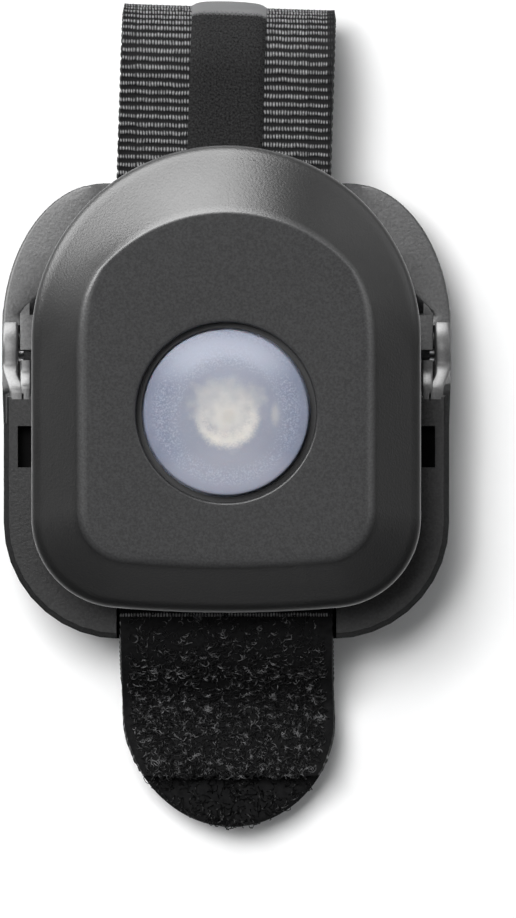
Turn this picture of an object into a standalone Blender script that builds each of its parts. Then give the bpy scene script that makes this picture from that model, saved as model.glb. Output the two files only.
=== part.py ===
"""A small strap-on lamp with a rear spring clip, as an assembly of separate pieces.

Metres, +Z up. The lamp lies on its back on the table at z = 0, the lens axis is the Z axis,
+X is the wearer-facing view's right and +Y points to the top of the lamp.
"""

import math

import bmesh
import bpy
from mathutils import Vector

# Clearances
GAP = 0.0003
SEW_GAP = 0.0002
BORE_CLEARANCE = 0.00015
MERGE = 0.0006

# Lamp body seen from the front, measured from the lens axis
LAMP_HALF_WIDTH = 0.0184
LAMP_TOP = 0.0252
LAMP_BOTTOM = -0.0189
LAMP_CORNER = 0.0085
BOTTOM_BOW = 0.0005
SLOPE_SIDE = 0.0049
SLOPE_TOP = 0.0066
SLOPE_BOTTOM = 0.0048
FACE_TOP_RADIUS = 0.0158
FACE_CORNER = 0.0045
LAMP_DEPTH = 0.0135
FRONT_HEIGHT = 0.0067
EDGE_HEIGHT = 0.0018
EDGE_ROUND = 0.0005
SIDE_DRAFT = 0.00035
SLOPE_HOLLOW = 0.0003
FACE_WALL = 0.0016
TUB_WALL = 0.0023
TUB_FLOOR = 0.0014
BACK_ROUND = 0.0022
LIP_WALL = 0.0010
GASKET_HEIGHT = 0.0006
GASKET_WIDTH = 0.0008

# Lens button and what lies under it
LENS_RADIUS = 0.00775
LENS_GAP = 0.0007
RECESS_CHAMFER = 0.0004
LENS_PROUD = 0.0006
LENS_CROWN = 0.00085
LENS_WALL = 0.00125
LENS_CEILING = 0.0020
LENS_FLANGE = 0.0014
FLANGE_THICKNESS = 0.0008
PRESS_TRAVEL = 0.0006
SEAL_THICKNESS = 0.00075
RETAINER_RADIUS = 0.0110
RETAINER_THICKNESS = 0.0010
COLLAR_WALL = 0.0009
EMITTER_RADIUS = 0.0030
EMITTER_HEIGHT = 0.0007
EMITTER_Y = -0.0004
CUP_RADIUS = 0.0056
CUP_HEIGHT = 0.0035
CUP_WALL = 0.0005

# Board, switch, cell, socket and screws
BOARD_INSET = 0.0030
BOARD_THICKNESS = 0.0010
BOARD_PROUD = 0.0002
SWITCH_Y = 0.00835
SWITCH_SIZE = (0.0044, 0.0026, 0.0014)
PLUNGER_RADIUS = 0.0007
CHIP_SIZE = (0.0040, 0.0040, 0.0009)
CHIP_MARGIN = 0.0059
CHIP_Y = -0.0030
CELL_HALF_WIDTH = 0.0081
CELL_TOP = 0.0150
CELL_BOTTOM = -0.0080
CELL_CORNER = 0.0015
PAD_THICKNESS = 0.0005
PAD_MARGIN = 0.0010
SOCKET_WIDTH = 0.0090
SOCKET_LENGTH = 0.0066
SOCKET_FLOOR_GAP = 0.0011
SOCKET_WALL = 0.0003
SOCKET_DEPTH = 0.0048
SCREW_SIDE_MARGIN = 0.0023
SCREW_TOP_MARGIN = 0.0081
SCREW_BOTTOM_MARGIN = 0.0033
SCREW_HEAD_RADIUS = 0.00145
SCREW_HEAD_HEIGHT = 0.0009
SCREW_SHANK_RADIUS = 0.00085
SCREW_DRIVE_RADIUS = 0.0006
SCREW_DRIVE_DEPTH = 0.0005
SCREW_BITE = 0.0038
POST_RADIUS = 0.0025
BOSS_RADIUS = 0.0019

# Rubber flap over the charging socket
PORT_MARGIN = 0.0004
FLAP_MARGIN = 0.0014
FLAP_THICKNESS = 0.0008
FLAP_RECESS = 0.0015
TONGUE_LENGTH = 0.0010
TONGUE_MARGIN = 0.0003

# Clip: pin, lever, spring and pad
PIN_Y = 0.00585
PIN_Z = 0.0074
PIN_RADIUS = 0.0010
PIN_RECESS = 0.0002
EAR_RADIUS = 0.00405
BARREL_RADIUS = 0.0021
BARREL_LENGTH = 0.0082
EAR_SIDE_GAP = 0.00045
JAW_DROP = 0.0008
JAW_THICKNESS = 0.0018
JAW_HALF_WIDTH = 0.0135
JAW_END = -0.0170
JAW_CORNER = 0.0040
HANDLE_TOP = 0.0219
HANDLE_CORNER_WIDTH = 0.0095
HANDLE_CORNER_LENGTH = 0.0140
HANDLE_THICKNESS = 0.0022
HANDLE_RISE = 0.0012
HANDLE_FALL = 0.0024
LIP_START = 0.0089
LIP_END = 0.0135
LIP_FRONT = 0.0102
LIP_INSIDE = 0.0003
PAD_LENGTH = 0.0060
PAD_SIDE = 0.0012
SPRING_WIRE = 0.0006
SPRING_RADIUS = 0.0019
SPRING_PITCH = 0.0011
SPRING_TURNS = 5
SPRING_POINTS = 9
SPRING_TOP_LEG = 0.0045
SPRING_LOW_LEG = 0.0024
SPRING_LEG_SLOPE = 0.15
WINDOW_SIDE = 0.0004
WINDOW_ABOVE = 0.0042
WINDOW_BELOW = 0.0026

# Cradle behind the lamp
FLANGE_REACH = 0.0027
FLANGE_DROP = 0.0025
FLANGE_CORNER = 0.0110
FLANGE_CHAMFER = 0.0005
FLANGE_SHOULDER_Y = 0.0020
CRADLE_TOP = 0.0140
CRADLE_THICKNESS = 0.0032
CRADLE_NECK_MARGIN = 0.0003
CRADLE_NECK_TOP = 0.0085
CHANNEL_SIDE = 0.0004
CHANNEL_DEPTH = 0.0011
CHANNEL_END = -0.0194
NOTCH_WEB = 0.0009
EAR_THICKNESS = 0.00150
EAR_PROUD = 0.00015
EAR_ROOT = 0.0030
EAR_RISE_Y = 0.0049
CHEEK_RADIUS = 0.0033
CHEEK_BORE = 0.0024
CHEEK_FROM = -20
CHEEK_TO = 84
LUG_LEG = 0.0012
LUG_LEG_INSET = 0.0016
LUG_FOOT_REACH = 0.0010
LUG_FOOT_HEIGHT = 0.0011
LUG_TOP = 0.0051
LUG_LENGTH = 0.0029
RELEASE_TRAVEL = 0.00665
WINDOW_LENGTH = 0.0041
LUG_ROOF = 0.0009
POCKET_WEB = 0.0006

# Strap
STRAP_WIDTH = 0.0200
STRAP_THICKNESS = 0.0012
STRAP_FOLD = 0.0387
STRAP_FRONT_END = -0.0345
STRAP_TAIL_TIP = -0.0393
DROP_START = -0.0196
DROP_END = -0.0290
HOOK_HEIGHT = 0.0008
HOOK_START = -0.0285
HOOK_MARGIN = 0.0005
PILE_HEIGHT = 0.0005
PILE_START = -0.0216
GRIP_HALF_WIDTH = 0.0034
GRIP_THICKNESS = 0.0003
GRIP_START = 0.0246
GRIP_TURN_STEPS = 9

# Roundness of the turned and swept shapes
ARCH_STEPS = 36
CORNER_STEPS = 9
SIDE_STEPS = 6
BOW_STEPS = 4
ROUND_STEPS = 20
FOLD_STEPS = 12
DROP_STEPS = 12
TAIL_STEPS = 7
END_STEPS = 5
RISE_STEPS = 6

# Levels worked out from the sizes above, from the table upwards
CRADLE_BACK = PIN_Z + SPRING_RADIUS + SPRING_WIRE / 2 + SEW_GAP
CRADLE_FRONT = CRADLE_BACK + CRADLE_THICKNESS
CHANNEL_FLOOR = CRADLE_FRONT - CHANNEL_DEPTH
STRAP_BACK_MID = STRAP_THICKNESS / 2
STRAP_FRONT_MID = CHANNEL_FLOOR + GAP + STRAP_THICKNESS / 2
STRAP_END_MID = STRAP_THICKNESS * 1.5 + SEW_GAP + HOOK_HEIGHT + GAP
LAMP_BACK = STRAP_FRONT_MID + STRAP_THICKNESS / 2 + GAP
FACE = LAMP_BACK + LAMP_DEPTH
RIM = FACE - FRONT_HEIGHT
SHELL_RIM = RIM + GAP
GASKET_TOP = RIM + GAP + GASKET_HEIGHT
EDGE = RIM + EDGE_HEIGHT
FACE_BACK = FACE - FACE_WALL
FLOOR = LAMP_BACK + TUB_FLOOR
BOARD_FRONT = RIM + BOARD_PROUD
BOARD_BACK = BOARD_FRONT - BOARD_THICKNESS
SEAL_TOP = FACE_BACK - GAP
SEAL_BACK = SEAL_TOP - SEAL_THICKNESS
FLANGE_FRONT = SEAL_BACK - GAP
FLANGE_BACK = FLANGE_FRONT - FLANGE_THICKNESS
RECESS_RADIUS = LENS_RADIUS + LENS_GAP
FLANGE_RADIUS = LENS_RADIUS + LENS_FLANGE
FACE_HALF_WIDTH = LAMP_HALF_WIDTH - SLOPE_SIDE
FACE_TOP = LAMP_TOP - SLOPE_TOP
FACE_BOTTOM = LAMP_BOTTOM + SLOPE_BOTTOM
FLANGE_HALF_WIDTH = LAMP_HALF_WIDTH + FLANGE_REACH
FLANGE_BOTTOM = LAMP_BOTTOM - FLANGE_DROP
EAR_INNER = FLANGE_HALF_WIDTH + EAR_PROUD - EAR_THICKNESS
BARREL_END = EAR_INNER - EAR_SIDE_GAP
FOOT_TIP = LAMP_HALF_WIDTH + LUG_FOOT_REACH
LEG_OUTER = LAMP_HALF_WIDTH - LUG_LEG_INSET
LEG_INNER = LEG_OUTER - LUG_LEG
FOOT_FRONT = CRADLE_FRONT - LUG_ROOF - GAP
FOOT_BACK = FOOT_FRONT - LUG_FOOT_HEIGHT
SCREW_X = FACE_HALF_WIDTH - SCREW_SIDE_MARGIN
SCREW_PLACES = [
    (SCREW_X, FACE_TOP - SCREW_TOP_MARGIN),
    (-SCREW_X, FACE_TOP - SCREW_TOP_MARGIN),
    (SCREW_X, FACE_BOTTOM + SCREW_BOTTOM_MARGIN),
    (-SCREW_X, FACE_BOTTOM + SCREW_BOTTOM_MARGIN),
]
CHIP_PLACE = (CHIP_MARGIN + BOARD_INSET - LAMP_HALF_WIDTH, CHIP_Y)
SOCKET_HEIGHT = BOARD_BACK - GAP - FLOOR - SOCKET_FLOOR_GAP
SOCKET_Z = BOARD_BACK - GAP - SOCKET_HEIGHT / 2
PORT_HALF_WIDTH = SOCKET_WIDTH / 2 + PORT_MARGIN
PORT_HALF_HEIGHT = SOCKET_HEIGHT / 2 + PORT_MARGIN
FLAP_HALF_WIDTH = PORT_HALF_WIDTH + FLAP_MARGIN - GAP
FLAP_LOW = SOCKET_Z - PORT_HALF_HEIGHT - GAP
FLAP_HIGH = SOCKET_Z + PORT_HALF_HEIGHT + GAP / 2
FLAP_BACK_Y = LAMP_BOTTOM + FLAP_RECESS - GAP
FLAP_FRONT_Y = FLAP_BACK_Y - FLAP_THICKNESS
PIN = Vector((0, PIN_Y, PIN_Z))
# The coil leaves a third of a turn short of a whole one, towards the handle
SPRING_COILED = SPRING_TURNS + 2 / 3
FLAP_HINGE = Vector((0, FLAP_FRONT_Y, FLAP_LOW))


for old in list(bpy.data.objects):
    bpy.data.objects.remove(old)


def finish(name, colour, roughness, metallic=0.0):
    """A plain material in the colour of the real piece."""
    material = bpy.data.materials.new(name)
    material.use_nodes = True
    shader = material.node_tree.nodes["Principled BSDF"]
    shader.inputs["Base Color"].default_value = (*colour, 1)
    shader.inputs["Roughness"].default_value = roughness
    shader.inputs["Metallic"].default_value = metallic
    return material


DARK_PLASTIC = ((0.065, 0.067, 0.070), 0.55)
CRADLE_PLASTIC = ((0.060, 0.062, 0.065), 0.60)
BLACK_RUBBER = ((0.020, 0.020, 0.021), 0.80)
WEBBING = ((0.018, 0.018, 0.020), 0.90)
STEEL = ((0.62, 0.62, 0.63), 0.30, 1.0)


def holder(name, place):
    """An empty that carries the pieces of one moving unit."""
    empty = bpy.data.objects.new(name, None)
    empty.location = place
    bpy.context.scene.collection.objects.link(empty)
    return empty


LAMP_UNIT = holder("lamp_unit", Vector((0, 0, LAMP_BACK)))
CLIP_UNIT = holder("clip_unit", PIN)
FLAP_UNIT = holder("flap_unit", FLAP_HINGE)
STRAP_UNIT = holder("strap_unit", Vector((0, 0, 0)))


def piece(name, bm, look=None, unit=None):
    """One object from a mesh in world places. Without a look it is a shaping tool, left out of the object."""
    bmesh.ops.recalc_face_normals(bm, faces=bm.faces[:])
    origin = unit.location.copy() if unit else Vector((0, 0, 0))
    bmesh.ops.translate(bm, verts=bm.verts[:], vec=-origin)
    mesh = bpy.data.meshes.new(name)
    bm.to_mesh(mesh)
    bm.free()
    thing = bpy.data.objects.new(name, mesh)
    bpy.context.scene.collection.objects.link(thing)
    if unit:
        thing.parent = unit
    if look:
        mesh.materials.append(finish(name, *look))
        mesh.shade_smooth()
        mesh.set_sharp_from_angle(angle=math.radians(30))
    else:
        thing.hide_render = True
        thing.display_type = "WIRE"
    return thing


def shape(target, operation, tool):
    """Joins a tool to a piece, or cuts it out."""
    change = target.modifiers.new(tool.name, "BOOLEAN")
    change.operation = operation
    change.object = tool


def lofted(rings, tube=False):
    """Skin through rings of equally many points: capped at both ends, or a tube that closes on itself."""
    bm = bmesh.new()
    loops = [[bm.verts.new(point) for point in ring] for ring in rings]
    pairs = list(zip(loops, loops[1:]))
    if tube:
        pairs.append((loops[-1], loops[0]))
    else:
        bm.faces.new(loops[0])
        bm.faces.new(loops[-1])
    for one, other in pairs:
        for i in range(len(one)):
            j = (i + 1) % len(one)
            bm.faces.new((one[i], one[j], other[j], other[i]))
    return bm


def turned(profile, centre=(0, 0), tube=False, steps=ROUND_STEPS):
    """A turned shape round a line along Z, from (radius, height) pairs."""
    rings = []
    for radius, height in profile:
        turns = [2 * math.pi * i / steps for i in range(steps)]
        rings.append(
            [
                Vector((centre[0] + radius * math.cos(a), centre[1] + radius * math.sin(a), height))
                for a in turns
            ]
        )
    return lofted(rings, tube)


def cross_round(radius, low, high, steps=ROUND_STEPS):
    """A round bar along X on the pin's axis."""
    rings = []
    for x in (low, high):
        turns = [2 * math.pi * i / steps for i in range(steps)]
        rings.append([PIN + Vector((x, radius * math.cos(a), radius * math.sin(a))) for a in turns])
    return lofted(rings)


def box(low, high):
    """A box between two corners."""
    rings = []
    for z in (low[2], high[2]):
        corners = ((low[0], low[1]), (high[0], low[1]), (high[0], high[1]), (low[0], high[1]))
        rings.append([Vector((x, y, z)) for x, y in corners])
    return lofted(rings)


def side_box(side, low, high):
    """A box on the right side, or on the left for side -1."""
    xs = sorted((side * low[0], side * high[0]))
    return box((xs[0], low[1], low[2]), (xs[1], high[1], high[2]))


def rounded_box(half_width, bottom, top, corner, low, high):
    """A flat block with round upright corners."""
    ring = []
    for sx, sy in ((1, 1), (-1, 1), (-1, -1), (1, -1)):
        start = {(1, 1): 0, (-1, 1): 90, (-1, -1): 180, (1, -1): 270}[(sx, sy)]
        middle = (sx * (half_width - corner), top - corner if sy > 0 else bottom + corner)
        for i in range(CORNER_STEPS):
            a = math.radians(start + 90 * i / (CORNER_STEPS - 1))
            ring.append((middle[0] + corner * math.cos(a), middle[1] + corner * math.sin(a)))
    return lofted([[Vector((x, y, z)) for x, y in ring] for z in (low, high)])


def arch(half_width, top, bottom, top_radius, corner, bow=BOTTOM_BOW, side_steps=SIDE_STEPS):
    """Points round an arched outline with a slightly bowed bottom edge, against the clock from the right."""
    slope = math.atan(2 * bow / (half_width - corner))
    reach = math.asin(min(1.0, half_width / top_radius))
    points = []
    for i in range(ARCH_STEPS + 1):
        a = reach - 2 * reach * i / ARCH_STEPS
        points.append((top_radius * math.sin(a), top - top_radius + top_radius * math.cos(a)))
    middle_y = bottom + bow + corner * math.cos(slope)
    turn = math.pi / 2 - slope
    left = []
    for i in range(CORNER_STEPS + 1):
        a = math.pi + turn * i / CORNER_STEPS
        left.append((corner - half_width + corner * math.cos(a), middle_y + corner * math.sin(a)))
    end_x = left[-1][0]
    base = []
    for i in range(1, BOW_STEPS):
        x = end_x * (1 - 2 * i / BOW_STEPS)
        base.append((x, bottom + bow * (x / end_x) ** 2))
    right = [(-x, y) for x, y in reversed(left)]
    high = points[-1][1]
    drop = left[0][1] - high
    side = [(-half_width, high + drop * i / side_steps) for i in range(1, side_steps)]
    far_side = [(-x, y) for x, y in reversed(side)]
    return points + side + left + base + right + far_side


def lamp_ring(inset, z):
    outline = arch(
        LAMP_HALF_WIDTH - inset,
        LAMP_TOP - inset,
        LAMP_BOTTOM + inset,
        LAMP_HALF_WIDTH - inset,
        LAMP_CORNER - inset,
    )
    return [Vector((x, y, z)) for x, y in outline]


def face_ring(inset, z):
    outline = arch(
        FACE_HALF_WIDTH - inset,
        FACE_TOP - inset,
        FACE_BOTTOM + inset,
        FACE_TOP_RADIUS - inset,
        FACE_CORNER - inset,
    )
    return [Vector((x, y, z)) for x, y in outline]


def lens_ring(radius, z):
    """A circle round the lens with one point towards each point of the face's outline."""
    ring = []
    for point in face_ring(0, z):
        a = math.atan2(point.y, point.x)
        ring.append(Vector((radius * math.cos(a), radius * math.sin(a), z)))
    return ring


def slope_ring(share):
    """A ring on the sloped border, a share of the way from the outer edge to the face, slightly hollow."""
    low = lamp_ring(EDGE_ROUND, EDGE + EDGE_ROUND)
    high = face_ring(0, FACE - EDGE_ROUND / 3)
    hollow = Vector((0, 0, -SLOPE_HOLLOW * 4 * share * (1 - share)))
    return [a.lerp(b, share) + hollow for a, b in zip(low, high)]


def front_shell():
    """Moulded front: outer edge, sloped border, flat face with the lens hole, and a lip over the gasket."""
    inner = TUB_WALL + SIDE_DRAFT
    lip = SIDE_DRAFT + LIP_WALL
    rings = [
        lamp_ring(SIDE_DRAFT, SHELL_RIM),
        lamp_ring(SIDE_DRAFT / 3, EDGE - EDGE_ROUND),
        lamp_ring(0, EDGE),
        slope_ring(0),
        slope_ring(0.33),
        slope_ring(0.67),
        slope_ring(1),
        face_ring(EDGE_ROUND / 2, FACE),
        lens_ring(RECESS_RADIUS + RECESS_CHAMFER, FACE),
        lens_ring(RECESS_RADIUS, FACE - RECESS_CHAMFER),
        lens_ring(RECESS_RADIUS, FACE_BACK),
        face_ring(FACE_WALL * 0.7, FACE_BACK),
        lamp_ring(inner, EDGE + EDGE_ROUND),
        lamp_ring(inner, GASKET_TOP + GAP),
        lamp_ring(lip, GASKET_TOP + GAP),
        lamp_ring(lip, SHELL_RIM),
    ]
    shell = piece("front_shell", lofted(rings, tube=True), DARK_PLASTIC, LAMP_UNIT)
    bore = RETAINER_RADIUS + GAP
    low = SEAL_BACK - GAP - RETAINER_THICKNESS
    collar = [
        (bore, low),
        (bore + COLLAR_WALL, low),
        (bore + COLLAR_WALL, FACE_BACK + MERGE),
        (bore, FACE_BACK + MERGE),
    ]
    shape(shell, "UNION", piece("collar_tool", turned(collar, tube=True, steps=32)))
    for number, place in enumerate(SCREW_PLACES, 1):
        boss = [(BOSS_RADIUS, BOARD_FRONT + GAP), (BOSS_RADIUS, FACE_BACK + MERGE)]
        shape(shell, "UNION", piece(f"boss_tool_{number}", turned(boss, place, steps=14)))
    for number, place in enumerate(SCREW_PLACES, 1):
        radius = SCREW_SHANK_RADIUS + BORE_CLEARANCE
        bottom = BOARD_FRONT - MERGE
        hole = [(radius, bottom), (radius, BOARD_FRONT + GAP + SCREW_BITE)]
        shape(shell, "DIFFERENCE", piece(f"pilot_tool_{number}", turned(hole, place, steps=12)))


def rear_cover():
    """Tub that closes the lamp from behind, with screw posts, the socket opening and two side lugs."""
    inner = SIDE_DRAFT + TUB_WALL
    rings = [
        lamp_ring(BACK_ROUND, LAMP_BACK),
        lamp_ring(BACK_ROUND * 0.45, LAMP_BACK + BACK_ROUND * 0.27),
        lamp_ring(SIDE_DRAFT * 1.4, LAMP_BACK + BACK_ROUND * 0.82),
        lamp_ring(SIDE_DRAFT, RIM),
        lamp_ring(inner, RIM),
        lamp_ring(inner + SIDE_DRAFT, FLOOR),
    ]
    tub = piece("rear_cover", lofted(rings), DARK_PLASTIC, LAMP_UNIT)
    for side, word in ((1, "right"), (-1, "left")):
        low_y = LUG_TOP - LUG_LENGTH
        leg = side_box(side, (LEG_INNER, low_y, FOOT_BACK), (LEG_OUTER, LUG_TOP, FLOOR - GAP))
        shape(tub, "UNION", piece(f"{word}_leg_tool", leg))
        foot = side_box(
            side,
            (LEG_INNER + GAP, low_y + SEW_GAP, FOOT_BACK + SEW_GAP / 2),
            (FOOT_TIP, LUG_TOP - SEW_GAP, FOOT_FRONT),
        )
        shape(tub, "UNION", piece(f"{word}_foot_tool", foot))
    for number, place in enumerate(SCREW_PLACES, 1):
        post = [(POST_RADIUS, FLOOR - MERGE), (POST_RADIUS, BOARD_BACK - GAP)]
        shape(tub, "UNION", piece(f"post_tool_{number}", turned(post, place, steps=16)))
    for number, place in enumerate(SCREW_PLACES, 1):
        head = SCREW_HEAD_RADIUS + GAP
        shank = SCREW_SHANK_RADIUS + GAP
        seat = LAMP_BACK + SEW_GAP + SCREW_HEAD_HEIGHT + GAP
        hole = [(head, LAMP_BACK - MERGE), (head, seat), (shank, seat), (shank, RIM)]
        shape(tub, "DIFFERENCE", piece(f"screw_hole_tool_{number}", turned(hole, place, steps=12)))
    outside = LAMP_BOTTOM - MERGE
    wide = PORT_HALF_WIDTH + FLAP_MARGIN
    recess = box(
        (-wide, outside, FLAP_LOW - GAP),
        (wide, LAMP_BOTTOM + FLAP_RECESS, FLAP_HIGH + GAP),
    )
    shape(tub, "DIFFERENCE", piece("flap_recess_tool", recess))
    port = box(
        (-PORT_HALF_WIDTH, outside, SOCKET_Z - PORT_HALF_HEIGHT),
        (PORT_HALF_WIDTH, LAMP_BOTTOM + TUB_WALL * 2, SOCKET_Z + PORT_HALF_HEIGHT),
    )
    shape(tub, "DIFFERENCE", piece("port_tool", port))


def housing_gasket():
    """Flat rubber ring on the tub's rim, inside the front shell's lip."""
    outer = SIDE_DRAFT + LIP_WALL + GAP
    inner = outer + GASKET_WIDTH
    low = RIM + GAP
    rings = [
        lamp_ring(outer, low),
        lamp_ring(outer, GASKET_TOP),
        lamp_ring(inner, GASKET_TOP),
        lamp_ring(inner, low),
    ]
    piece("housing_gasket", lofted(rings, tube=True), BLACK_RUBBER, LAMP_UNIT)


def lens_button():
    """Milky lens with a crowned front, a skirt and a flange that rests under the seal."""
    bore = LENS_RADIUS - LENS_WALL
    crown = FACE + LENS_PROUD
    edge = crown - LENS_CROWN
    ceiling = crown - LENS_CEILING
    soft = LENS_WALL / 4
    profile = [
        (bore - soft, ceiling),
        (bore, ceiling - soft),
        (bore, FLANGE_BACK),
        (FLANGE_RADIUS, FLANGE_BACK),
        (FLANGE_RADIUS, FLANGE_FRONT),
        (LENS_RADIUS, FLANGE_FRONT),
        (LENS_RADIUS, edge - soft),
    ]
    for share in (1, 0.78, 0.55, 0.32, 0.1):
        radius = (LENS_RADIUS - soft) * share
        profile.append((radius, edge + LENS_CROWN * (1 - share * share)))
    look = ((0.62, 0.68, 0.76), 0.25)
    piece("lens_button", turned(profile, steps=32), look, LAMP_UNIT)


def lens_rings():
    """Rubber seal behind the face, and the ring that clamps it inside the collar."""
    inner = LENS_RADIUS + SEW_GAP
    seal = [
        (inner, SEAL_BACK),
        (RETAINER_RADIUS, SEAL_BACK),
        (RETAINER_RADIUS, SEAL_TOP),
        (inner, SEAL_TOP),
    ]
    piece("lens_seal", turned(seal, tube=True, steps=32), BLACK_RUBBER, LAMP_UNIT)
    bore = FLANGE_RADIUS + GAP
    low = FLANGE_FRONT - RETAINER_THICKNESS
    ring = [
        (bore, low),
        (RETAINER_RADIUS, low),
        (RETAINER_RADIUS, FLANGE_FRONT),
        (bore, FLANGE_FRONT),
    ]
    look = ((0.12, 0.12, 0.125), 0.5)
    piece("lens_retainer", turned(ring, tube=True, steps=32), look, LAMP_UNIT)


def light_engine():
    """Round emitter on the board and the white reflector cup round it."""
    low = BOARD_FRONT + GAP
    middle = (0, EMITTER_Y)
    disc = [
        (EMITTER_RADIUS, low),
        (EMITTER_RADIUS, low + EMITTER_HEIGHT * 0.7),
        (EMITTER_RADIUS * 0.9, low + EMITTER_HEIGHT),
    ]
    piece("led_emitter", turned(disc, middle), ((0.78, 0.62, 0.36), 0.5), LAMP_UNIT)
    bore = EMITTER_RADIUS + GAP
    cup = [
        (bore, low),
        (bore + CUP_WALL, low),
        (CUP_RADIUS, low + CUP_HEIGHT),
        (CUP_RADIUS - CUP_WALL, low + CUP_HEIGHT),
    ]
    look = ((0.75, 0.75, 0.74), 0.35)
    piece("reflector_cup", turned(cup, middle, tube=True, steps=24), look, LAMP_UNIT)


def electronics():
    """Board on the posts, chip, tact switch, charging socket, and the flat cell on its foam pad."""
    board = lofted([lamp_ring(BOARD_INSET, BOARD_BACK), lamp_ring(BOARD_INSET, BOARD_FRONT)])
    board = piece("main_board", board, ((0.03, 0.16, 0.08), 0.45), LAMP_UNIT)
    for number, place in enumerate(SCREW_PLACES, 1):
        radius = SCREW_SHANK_RADIUS + GAP
        hole = [(radius, BOARD_BACK - MERGE), (radius, BOARD_FRONT + MERGE)]
        shape(board, "DIFFERENCE", piece(f"board_hole_tool_{number}", turned(hole, place, steps=12)))
    top = BOARD_FRONT + GAP
    chip = box(
        (CHIP_PLACE[0] - CHIP_SIZE[0] / 2, CHIP_PLACE[1] - CHIP_SIZE[1] / 2, top),
        (CHIP_PLACE[0] + CHIP_SIZE[0] / 2, CHIP_PLACE[1] + CHIP_SIZE[1] / 2, top + CHIP_SIZE[2]),
    )
    piece("controller_chip", chip, ((0.02, 0.02, 0.02), 0.4), LAMP_UNIT)
    body = box(
        (-SWITCH_SIZE[0] / 2, SWITCH_Y - SWITCH_SIZE[1] / 2, top),
        (SWITCH_SIZE[0] / 2, SWITCH_Y + SWITCH_SIZE[1] / 2, top + SWITCH_SIZE[2]),
    )
    body = piece("switch_body", body, ((0.03, 0.03, 0.03), 0.5), LAMP_UNIT)
    bore = PLUNGER_RADIUS + BORE_CLEARANCE
    hole = turned([(bore, BOARD_FRONT), (bore, FLANGE_BACK)], (0, SWITCH_Y), steps=14)
    shape(body, "DIFFERENCE", piece("switch_bore_tool", hole))
    stem = [(PLUNGER_RADIUS, top + PRESS_TRAVEL + GAP / 3), (PLUNGER_RADIUS, FLANGE_BACK - GAP)]
    look = ((0.75, 0.75, 0.72), 0.4)
    piece("switch_plunger", turned(stem, (0, SWITCH_Y), steps=14), look, LAMP_UNIT)
    back = LAMP_BOTTOM + TUB_WALL + SIDE_DRAFT * 2 + GAP
    low = SOCKET_Z - SOCKET_HEIGHT / 2
    high = SOCKET_Z + SOCKET_HEIGHT / 2
    socket = box((-SOCKET_WIDTH / 2, back, low), (SOCKET_WIDTH / 2, back + SOCKET_LENGTH, high))
    socket = piece("charge_socket", socket, STEEL, LAMP_UNIT)
    mouth = box(
        (SOCKET_WALL - SOCKET_WIDTH / 2, back - MERGE, low + SOCKET_WALL),
        (SOCKET_WIDTH / 2 - SOCKET_WALL, back + SOCKET_DEPTH, high - SOCKET_WALL),
    )
    shape(socket, "DIFFERENCE", piece("socket_mouth_tool", mouth))
    low = FLOOR + GAP
    pad = rounded_box(
        CELL_HALF_WIDTH - PAD_MARGIN,
        CELL_BOTTOM + PAD_MARGIN,
        CELL_TOP - PAD_MARGIN,
        CELL_CORNER,
        low,
        low + PAD_THICKNESS,
    )
    piece("battery_pad", pad, ((0.05, 0.05, 0.05), 0.95), LAMP_UNIT)
    cell = rounded_box(
        CELL_HALF_WIDTH,
        CELL_BOTTOM,
        CELL_TOP,
        CELL_CORNER,
        low + PAD_THICKNESS + GAP,
        BOARD_BACK - GAP,
    )
    piece("battery_cell", cell, ((0.55, 0.56, 0.58), 0.4, 0.6), LAMP_UNIT)


def cover_screws():
    """Four screws from behind, through the posts and the board into the front shell's bosses."""
    back = LAMP_BACK + SEW_GAP
    head = back + SCREW_HEAD_HEIGHT
    for number, place in enumerate(SCREW_PLACES, 1):
        profile = [
            (SCREW_DRIVE_RADIUS, back + SCREW_DRIVE_DEPTH),
            (SCREW_DRIVE_RADIUS, back),
            (SCREW_HEAD_RADIUS, back),
            (SCREW_HEAD_RADIUS, head),
            (SCREW_SHANK_RADIUS, head),
            (SCREW_SHANK_RADIUS, BOARD_FRONT + SCREW_BITE),
        ]
        piece(f"cover_screw_{number}", turned(profile, place, steps=12), STEEL, LAMP_UNIT)


def port_plug():
    """Rubber flap in its recess, with a tongue in the socket opening. It swings on its rear edge."""
    flap = box(
        (-FLAP_HALF_WIDTH, FLAP_FRONT_Y, FLAP_LOW),
        (FLAP_HALF_WIDTH, FLAP_BACK_Y, FLAP_HIGH),
    )
    flap = piece("port_plug", flap, BLACK_RUBBER, FLAP_UNIT)
    side = PORT_HALF_WIDTH - PORT_MARGIN - TONGUE_MARGIN
    tall = PORT_HALF_HEIGHT - PORT_MARGIN - TONGUE_MARGIN
    tongue = box(
        (-side, FLAP_BACK_Y - FLAP_THICKNESS / 2, SOCKET_Z - tall),
        (side, FLAP_BACK_Y + TONGUE_LENGTH, SOCKET_Z + tall),
    )
    shape(flap, "UNION", piece("tongue_tool", tongue))


def cradle_ring(inset, z):
    """Outline of the cradle plate: a wide lower flange and a narrow neck hidden behind the lamp."""
    half = FLANGE_HALF_WIDTH - inset
    neck = LAMP_HALF_WIDTH - CRADLE_NECK_MARGIN - inset
    shoulder = FLANGE_SHOULDER_Y - inset
    low = FLANGE_BOTTOM + inset
    whole = arch(half, LAMP_TOP, low, half, FLANGE_CORNER - inset, bow=0, side_steps=1)
    lower = whole[ARCH_STEPS + 1 :]
    drop = CRADLE_TOP - CRADLE_NECK_TOP
    outline = [
        (half, shoulder),
        (neck, shoulder),
        (neck, CRADLE_NECK_TOP - inset),
        (neck - drop, CRADLE_TOP - inset),
        (drop - neck, CRADLE_TOP - inset),
        (-neck, CRADLE_NECK_TOP - inset),
        (-neck, shoulder),
        (-half, shoulder),
    ]
    return [Vector((x, y, z)) for x, y in outline + lower]


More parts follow.
